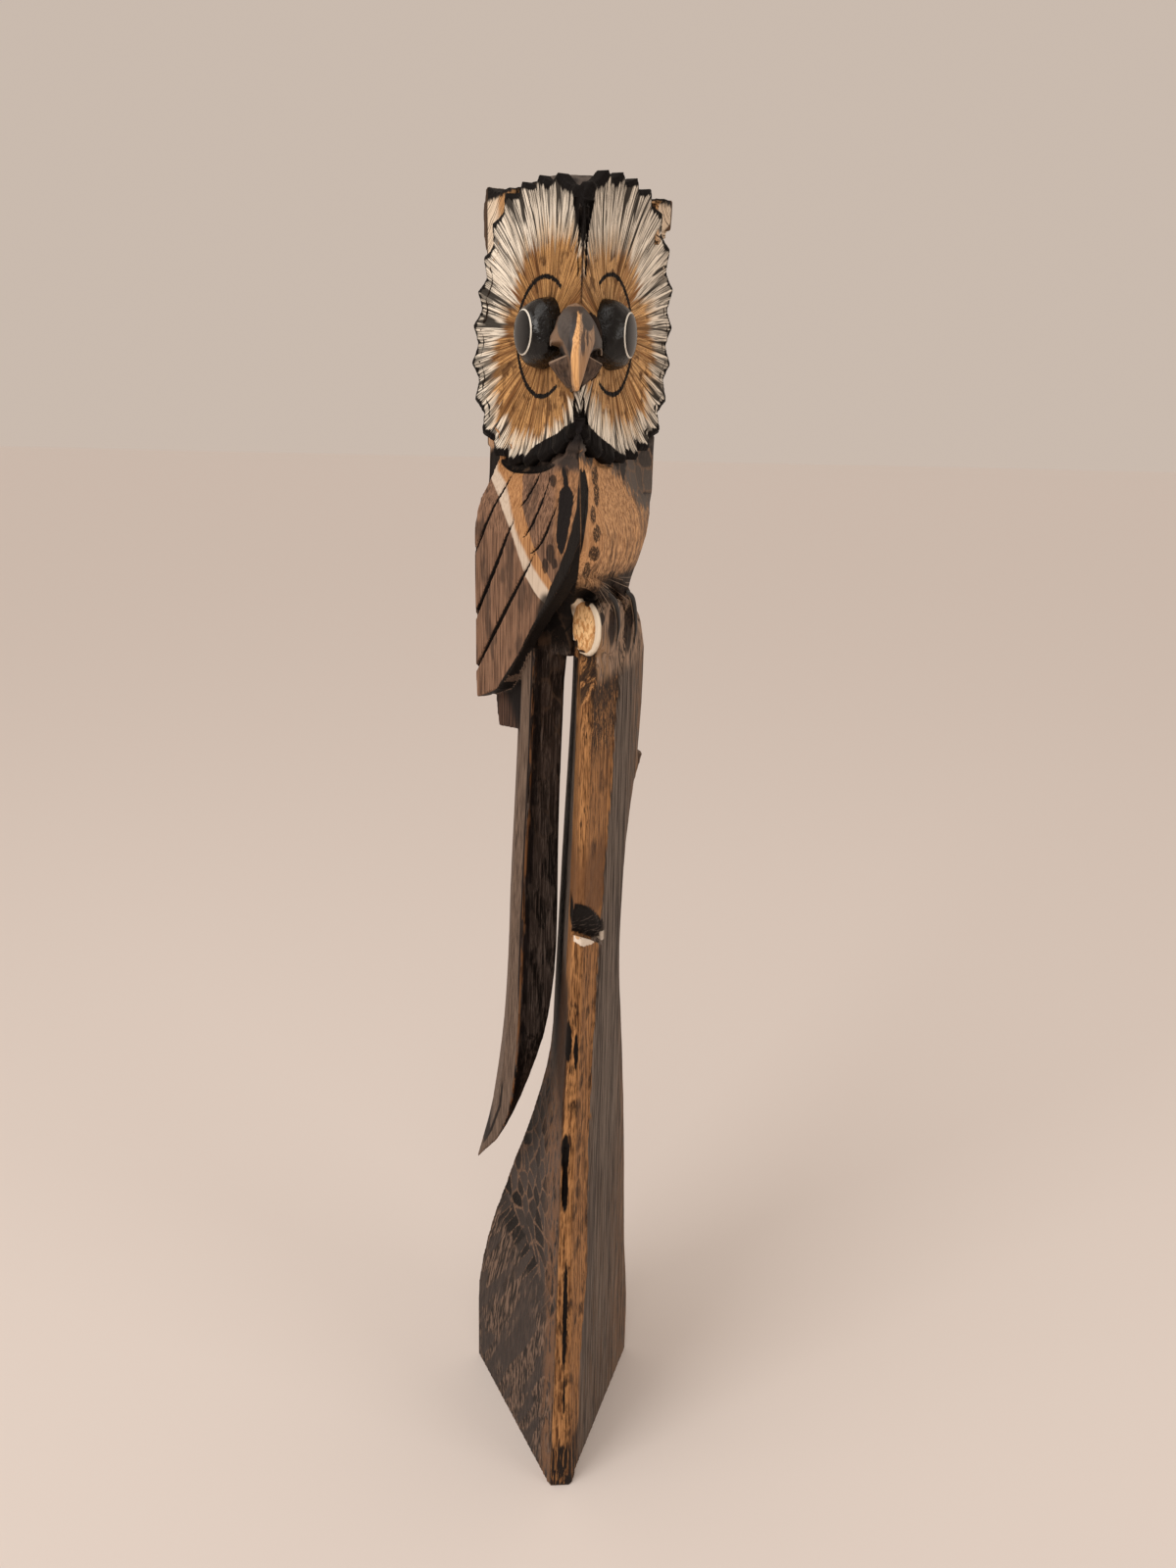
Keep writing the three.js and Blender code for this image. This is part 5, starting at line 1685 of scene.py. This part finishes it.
def breast_layers(paint, colour):
    x, z = paint.x, paint.z
    thin_grain, patch, speck, crumb = paint.thin_grain, paint.patch, paint.speck, paint.crumb
    web, tone, right = paint.web, paint.tone, paint.right
    breast_mask = right * z.fade(706, 716) * z.fade(852, 848)
    down = thin_grain * 0.6 + speck * 0.4
    breast = paint.blend((0.22, 0.105, 0.045), (0.66, 0.375, 0.185), down.fade(0.41, 0.57))
    breast = breast.cover((0.1, 0.056, 0.032), patch.fade(0.52, 0.62) * z.fade(800, 770) * 0.7)
    breast = breast.cover((0.2, 0.125, 0.08), x.fade(36, 56) * patch.fade(0.4, 0.6) * 0.8)
    breast = breast.cover((0.56, 0.29, 0.13), x.fade(22, 12) * z.fade(752, 770) * 0.5)
    strand_marks = paint.grain((2.6, 2.6, 13.0), 3.0).fade(0.6, 0.67) * x.fade(28, 40) * 0.7
    breast = breast.cover((0.06, 0.042, 0.032), strand_marks)
    spots = paint.spots(x.ragged((2.0, 2.0, 4.0), 1.6), z.ragged((3.0, 3.0, 4.0), 2.0), BREAST_MARKS, 0.3)
    breast = breast.cover((0.022, 0.014, 0.01), spots * crumb.fade(0.3, 0.5) * 0.92)
    neck_cell = paint.blend(
        (0.04, 0.034, 0.031), (0.118, 0.098, 0.084), (tone + speck * 0.6).fade(0.3, 1.3)
    )
    neck = neck_cell.cover((0.205, 0.13, 0.085), web * crumb.fade(0.34, 0.56) * 0.75)
    neck_from = x.along([(0, 826), (10, 822), (18, 828), (30, 815), (42, 804), (55, 788), (70, 780)])
    neck_mask = (z.ragged((5.0, 5.0, 9.0), 16) - neck_from).fade(-4.0, 5.0)
    breast = breast.cover(neck, neck_mask)
    # Painted shade: darker and mottled towards the crease over the branch, then black in the crease.
    low = z.ragged((5.0, 5.0, 6.0), 15).fade(762, 738)
    breast = breast.cover(
        paint.blend(
            (0.016, 0.011, 0.009),
            (0.2, 0.118, 0.065),
            speck.ragged((4.0, 4.0, 6.0), 0.12).fade(0.44, 0.62),
        ),
        low * 0.92,
    )
    breast = breast.cover((0.012, 0.009, 0.008), z.fade(748, 738) * 0.9)
    # Painted shadow of the disc along the top of the breast.
    breast = breast.cover(SOOT_AND_SHADE, z.ragged((4.0, 4.0, 4.0), 3.0).fade(839, 845))
    return colour.cover(breast, breast_mask)


print(len(BREAST_MARKS), "drops on the breast")

# %% [markdown]
# The wing is brown, with one stripe that is white below and ochre above, and dark drops near its front
# edge. The stripe's edges are three curves over the height. A straight stripe would look printed, so
# the place that is looked up wanders by two millimetres.

# %% Wing
STRIPE_LOW = [
    (731, 50), (734.4, 63), (739.6, 74.6), (746, 86), (756, 95), (770, 108), (779, 119), (788, 132),
    (800, 151), (806, 163), (815, 181), (840, 200),
]
STRIPE_MID = [
    (741, 45), (744, 53), (751, 66.6), (758, 80), (768, 94), (777, 106), (789, 117), (798.5, 128),
    (807, 140), (815, 158), (840, 176),
]
STRIPE_HIGH = [
    (728, 20), (745, 40), (750, 47.4), (758, 60), (767, 72), (776, 81.5), (785, 91), (794, 101),
    (803.5, 107), (816, 114), (840, 124),
]
WING_MARKS = [
    (-17.4, 766, 2.6, 6.5), (-20.5, 757, 2.0, 5.0), (-15.0, 760, 2.0, 3.5), (-8.2, 818, 2.2, 3.6),
    (-15.5, 812, 2.0, 4.0),
]


def wing_measures(paint, colour):
    z, s = paint.z, paint.s
    paint.wing_front = z.along(WING_EDGE)
    paint.wing_face = paint.calc("MINIMUM", z.along(NECK_SLOPE), 0.0)
    behind_edge = (s - paint.wing_front).fade(-0.6, 0.6)
    paint.on_wing = paint.left * behind_edge * z.fade(636, 639) * z.fade(850, 846)
    paint.wing_top = paint.blend((0.035, 0.026, 0.022), (0.105, 0.07, 0.052), paint.tone.fade(0.1, 1.0))
    return colour


def wing_layers(paint, colour):
    x, z, s, n = paint.x, paint.z, paint.s, paint.n
    thin_grain, cloud, speck = paint.thin_grain, paint.cloud, paint.speck
    proud = (n - paint.wing_face).fade(-1.9, -1.1)
    down = thin_grain * 0.6 + speck * 0.4
    wing_grain = paint.grain((0.9, 0.9, 30.0), 3.0, bend=0.25)
    wing = paint.blend((0.058, 0.029, 0.018), (0.275, 0.154, 0.094), wing_grain.fade(0.36, 0.6))
    wing = wing.cover((0.04, 0.025, 0.019), cloud.fade(0.52, 0.66) * 0.65)
    wing = wing.cover(paint.wing_top, z.ragged((7.0, 7.0, 9.0), 8).fade(816, 824) * s.fade(112, 104))
    warm_rim = x.fade(-17, -12) * z.fade(758, 770) * z.fade(822, 816)
    wing = wing.cover(
        paint.blend((0.13, 0.062, 0.028), (0.4, 0.205, 0.095), down.fade(0.4, 0.58)), warm_rim * 0.85
    )
    wobbly = s.ragged((7.0, 7.0, 9.0), 2.2)
    below = wobbly - z.along(STRIPE_LOW)
    between = wobbly - z.along(STRIPE_MID)
    above = wobbly - z.along(STRIPE_HIGH)
    stripe = below.fade(2.5, -1.0) * above.fade(-0.8, 0.6) * z.fade(729, 731)
    ochre = paint.blend((0.22, 0.094, 0.034), (0.5, 0.26, 0.112), wing_grain.fade(0.35, 0.6))
    white = paint.blend((0.36, 0.265, 0.19), (0.6, 0.49, 0.385), wing_grain.fade(0.3, 0.5))
    wing = wing.cover(ochre.cover(white, between.fade(-3.0, 5.0)), stripe)
    corner = z.ragged((5.0, 5.0, 5.0), 3).fade(818, 824) * s.fade(132, 142)
    wing = wing.cover(ochre, corner * 0.7)
    mark_x, mark_z = x.ragged((2.0, 2.0, 4.0), 0.9), z.ragged((3.0, 3.0, 4.0), 1.6)
    tear_middle = z.along([
        (768, -11.0), (779, -10.8), (790, -9.4), (801, -8.0), (809, -7.6), (821, -9.2),
    ])
    tear_half = z.along([
        (767, 0.2), (771, 2.2), (779, 3.4), (790, 3.6), (800, 4.3), (806, 4.0), (809.5, 1.6), (820, 1.3),
        (822, 0.2),
    ])
    tear = (abs(mark_x - tear_middle) - tear_half).fade(0.3, -0.3)
    tear = tear * z.fade(766, 768) * z.fade(823, 821)
    wing = wing.cover((0.008, 0.006, 0.006), tear | paint.spots(mark_x, mark_z, WING_MARKS, 0.3) * 0.8)
    return colour.cover(wing, paint.on_wing * (proud | z.fade(840, 846)))


print(len(WING_MARKS), "drops on the wing")

# %% [markdown]
# The wing's feathers end in black grooves, and a black band runs along its front edge. The grooves are
# cut in the mesh already, and the paint follows the same six bowed lines. The band's inner side is a
# curve again, and the plate's own edge is told by how far it lies below the face.

# %% Wing grooves and black band
BAND_LEFT = [
    (640, 175), (656, 138), (668, 124), (689, 98.5), (708, 80), (732, 54), (745, 44.5), (758, 32.3),
    (771, 22.6), (784, 17.5), (797, 16.6), (808, 22.3), (820, 25), (834, 29.5),
]
BAND_RIGHT = [
    (745, -12), (759.6, -1.7), (773, 1.2), (785, 2.9), (797, 4.8), (809, 4.9), (821, 2.9), (834, 0.8),
]


def wing_grooves(paint):
    total = None
    for cut in FEATHER_CUTS:
        run = (cut["to"][0] - cut["from"][0], cut["to"][1] - cut["from"][1])
        length = math.hypot(*run)
        ds, dz = paint.s - cut["from"][0], paint.z - cut["from"][1]
        t = ds * (run[0] / length**2) + dz * (run[1] / length**2)
        off = ds * (run[1] / length) - dz * (run[0] / length)
        off = off - t * (1 - t) * (4 * cut["bulge"])
        away = t * 2.0 - 1.15
        taper = paint.calc("SQRT", paint.calc("MAXIMUM", 1.0 - away * away / 1.4, 0.0))
        gap = abs(off) - taper * cut["half"]
        mask = gap.fade(0.15, -0.35)
        total = mask if total is None else total | mask
    return total


def wing_edge_layers(paint, colour):
    x, y, z, s, n = paint.x, paint.y, paint.z, paint.s, paint.n
    left, right = paint.left, paint.right
    wing_front, wing_face, on_wing = paint.wing_front, paint.wing_face, paint.on_wing
    grooves = wing_grooves(paint) * on_wing * n.fade(-16, -14)
    colour = colour.cover((0.006, 0.0045, 0.004), grooves)
    edge_wall = on_wing * (n - wing_face).fade(-1.2, -2.0) * n.fade(-13, -12) * s.fade(176, 172)
    colour = colour.cover(SOOT_AND_SHADE, edge_wall)
    inside_band = (s.ragged((3.0, 3.0, 8.0), 1.0) - z.along(BAND_LEFT)).fade(0.8, -0.8) * left * on_wing
    plate_end = (
        right * (x - z.along(BAND_RIGHT)).fade(0.5, -0.3) * z.fade(752, 758) * z.fade(838, 834)
        * y.fade(30, 26)
    )
    near_edge = (
        left * (s - (wing_front - 2.5)).fade(0.0, 1.0) * (s - wing_front).fade(1.0, 0.0)
        * z.fade(640, 652) * n.fade(-14, -12)
    )
    band_black = (inside_band | plate_end | near_edge) * z.fade(838, 834)
    colour = colour.cover((0.009, 0.007, 0.006), band_black)
    under_disc = (
        left * z.ragged((6.0, 6.0, 8.0), 6).fade(820, 826) * s.fade(116, 106) * x.fade(-1.0, -3.0)
    )
    colour = colour.cover(paint.wing_top, under_disc)
    # Painted shadow of the disc along the top of the wing.
    return colour.cover((0.008, 0.006, 0.006), z.fade(833, 839) * s.fade(120, 105))


print(len(FEATHER_CUTS), "grooves painted")

# %% [markdown]
# Beside and behind the discs the head shows cream wood with dark knife lines, and its crown is black
# with a blistered skin. Cells of noise make the blisters. Under the discs' lower rims the wood is
# painted black as painted shadow.

# %% Head
def head_layers(paint, colour):
    x, y, z, s = paint.x, paint.y, paint.z, paint.s
    speck = paint.speck
    is_head = z.fade(852, 856)
    hood_lines = s * 0.62 + z * 0.78
    hood_line = paint.steps(hood_lines.ragged((9.0, 9.0, 9.0), 1.2), 1.3)
    toward_disc = s.ragged((6.0, 6.0, 9.0), 4).fade(168, 156)
    hood = paint.blend((0.74, 0.6, 0.45), (0.48, 0.26, 0.11), toward_disc)
    hood = hood.cover((0.045, 0.032, 0.024), hood_line.fade(0.54, 0.62))
    top_edge = z.ragged((4.0, 4.0, 4.0), 2.5).fade(996, 999.5)
    hood = hood.cover(SOOT_AND_SHADE, top_edge)
    hood = hood.cover(
        paint.blend((0.01, 0.008, 0.007), (0.05, 0.032, 0.022), speck),
        z.ragged((5.0, 5.0, 5.0), 4).fade(958, 948),
    )
    colour = colour.cover(hood, is_head)
    crown_mask = abs(x).fade(42, 38) * z.fade(935, 940) * y.fade(96, 88)
    crown = paint.blend(
        (0.024, 0.02, 0.018),
        (0.105, 0.084, 0.072),
        paint.blotches((8.0, 8.0, 8.0)).ragged((3.0, 3.0, 3.0), 0.15).fade(0.15, 0.75),
    )
    crown = crown.cover(SOOT_AND_SHADE, z.fade(982, 968))
    colour = colour.cover(crown, is_head * crown_mask)
    # Painted shadow under the discs: near-black below the chin and behind the lower rims.
    chin_shadow = z.fade(826, 834) * z.fade(864, 858) * (s - 150).fade(0, -6)
    colour = colour.cover(SOOT_AND_SHADE, chin_shadow * z.fade(841, 845))
    disc_shadow = z.fade(846, 848) * z.fade(880, 870)
    return colour.cover((0.01, 0.008, 0.007), disc_shadow)


print("head ready")

# %% [markdown]
# ### The branch's paint
# The branch stub ends in a sawn oval with a pale rim and an orange heart. The oval is a distance from
# the middle of the cut, divided by its half width and half height, so 1 is the rim all the way round.

# %% Branch and knot
def knot_layers(paint, colour):
    x, y, z = paint.x, paint.y, paint.z
    patch, right = paint.patch, paint.right
    turn = math.radians(58)
    in_x, in_y = x - 8.0, y - 58.0
    knot_across = in_x * math.cos(turn) - in_y * math.sin(turn)
    knot_out = (in_x * math.sin(turn) + in_y * math.cos(turn)) * -1.0
    knot_rise = z - 714.5
    oval = paint.calc("SQRT", abs(knot_across / 17.2) ** 2 + abs(knot_rise / 20.0) ** 2)
    at_end = knot_out.fade(-2.6, -1.4) * knot_out.fade(4.0, 3.0)
    soot_ring = (
        oval.fade(1.55, 1.12) * y.fade(100, 86) * z.fade(690, 697) * z.fade(742, 736) * x.fade(16, 12)
        * 0.92
    )
    colour = colour.cover((0.01, 0.008, 0.007), soot_ring)

    branch_side = right * z.fade(748, 742) * z.fade(672, 684) * x.fade(15, 17)
    bark_lines = paint.grain((1.6, 1.6, 14.0), 3.0, bend=0.5).fade(0.4, 0.58)
    branch = paint.blend((0.055, 0.042, 0.035), (0.34, 0.228, 0.155), bark_lines)
    branch = branch.cover(
        (0.3, 0.175, 0.09), z.fade(722, 700) * x.fade(30, 22) * patch.fade(0.42, 0.56) * 0.8
    )
    # Painted shade: the top of the branch goes black where the body overhangs it.
    branch = branch.cover((0.014, 0.011, 0.01), z.ragged((3.0, 3.0, 5.0), 8).fade(722, 736) * 0.92)
    branch = branch.cover(
        (0.014, 0.01, 0.009), paint.spots(x, z, [(28, 716, 3.4, 17), (43.5, 706, 3.6, 18)], 0.35) * 0.9
    )
    branch = branch.cover((0.034, 0.026, 0.022), paint.spots(x, z, [(18.5, 722, 2.2, 4.5)], 0.3))
    rays = paint.steps(paint.calc("ARCTAN2", z - 752, x - 10), 0.035)
    branch = branch.cover((0.36, 0.27, 0.2), rays.fade(0.6, 0.66) * z.fade(722, 730) * 0.75)
    colour = colour.cover(branch, branch_side)

    core = paint.calc("SQRT", abs((knot_across + 1.6) / 13.4) ** 2 + abs((knot_rise + 0.5) / 17.6) ** 2)
    rough_core = core.ragged((2.5, 2.5, 2.5), 0.05)
    knot = paint.blend(
        (0.54, 0.26, 0.092), (0.92, 0.6, 0.3), paint.grain((2.6, 2.6, 4.4), 4.0).fade(0.36, 0.58)
    )
    knot = knot.cover(
        (0.17, 0.066, 0.02), paint.grain((2.0, 2.0, 4.0), 4.0, bend=0.8).fade(0.6, 0.67) * 0.85
    )
    knot = knot.cover((0.3, 0.125, 0.04), core.fade(0.7, 0.98) * 0.6)
    knot = knot.cover((0.74, 0.63, 0.49), rough_core.fade(0.97, 1.03))
    knot = knot.cover((0.16, 0.1, 0.06), knot_across.fade(-9, -14) * knot_rise.fade(6, 12) * 0.9)
    dark_crack = paint.spots(
        knot_across.ragged((1.5, 1.5, 1.5), 0.8),
        knot_rise,
        [(1.5, 17.0, 3.2, 2.6), (-3.5, -17.2, 4.0, 0.9)],
        0.3,
    )
    knot = knot.cover((0.03, 0.018, 0.012), dark_crack)
    return colour.cover(knot, at_end * oval.fade(1.03, 0.99))


print("branch and knot ready")

# %% [markdown]
# ### Bark and underside
# The back is the log's own round bark side, and the underside is sawn end grain. Both can be told by
# place alone: by the distance from the log's middle, and by the height.

# %% Bark and underside
def back_layers(paint, colour):
    x, y, z = paint.x, paint.y, paint.z
    log_radius = paint.calc("SQRT", x * x + y * y)
    bark = log_radius.fade(181.0, 182.5)
    bark_colour = paint.blend(
        (0.028, 0.017, 0.011), (0.12, 0.07, 0.042), paint.grain((6.0, 6.0, 70.0), 4.0).fade(0.38, 0.62)
    )
    colour = colour.cover(bark_colour, bark)
    end_grain = paint.blend(
        (0.16, 0.095, 0.05), (0.33, 0.21, 0.12), paint.grain((4.0, 4.0, 4.0), 3.0).fade(0.35, 0.65)
    )
    return colour.cover(end_grain, z.fade(0.6, 0.2))


print("bark and underside ready")

# %% [markdown]
# Each of the four paints gets its layers in order, from the ground up. Where a face lies decides which
# paint it takes, and the borders are the same lines that the carving was cut to.

# %% Four wood paints
ZONE_LAYERS = {
    "owl_wood": (
        flank_layer, breast_layers, wing_measures, wing_layers, wing_edge_layers, knot_layers,
        back_layers,
    ),
    "head_wood": (head_layers, back_layers),
    "trunk_wood": (
        trunk_measures, side_layers, band_layers, wall_layers, flare_layers, crack_layers, lip_layers,
        knot_layers, back_layers,
    ),
    "tail_wood": (tail_layers, flank_layer, back_layers),
}
HEAD_BOTTOM, BODY_BOTTOM, WING_TIP, TAIL_BOTTOM = 851, 704, 636, 205


def zone_of_faces():
    """Which of the paints above each face takes: 0 owl, 1 head, 2 trunk or 3 tail."""
    count = len(carving.data.polygons)
    middles = np.empty(count * 3)
    carving.data.polygons.foreach_get("center", middles)
    x, y, z = (middles.reshape(-1, 3) * 1000 + TO_WEDGE).T
    s, n = np.abs(x) * SIN + y * COS, np.abs(x) * COS - y * SIN
    zone = np.zeros(count, dtype=int)
    zone[z > HEAD_BOTTOM] = 1
    split = split_between(z)
    wing = (x < 0) & (s > along(z, WING_EDGE) - 0.5) & (z > WING_TIP) & (n > -13.5)
    low = (z < BODY_BOTTOM) & ~wing
    zone[low & (x > split)] = 2
    zone[low & (x <= split)] = 3
    zone[z < TAIL_BOTTOM] = 2
    return zone


carving.data.materials.clear()
for name, layers in ZONE_LAYERS.items():
    carving.data.materials.append(WoodPaint(name).coat(*layers))
carving.data.polygons.foreach_set("material_index", zone_of_faces())
carving.data.update()
print("wood painted in", len(ZONE_LAYERS), "parts")

# %% [markdown]
# The dressed carving may stand only a little proud of the solid.
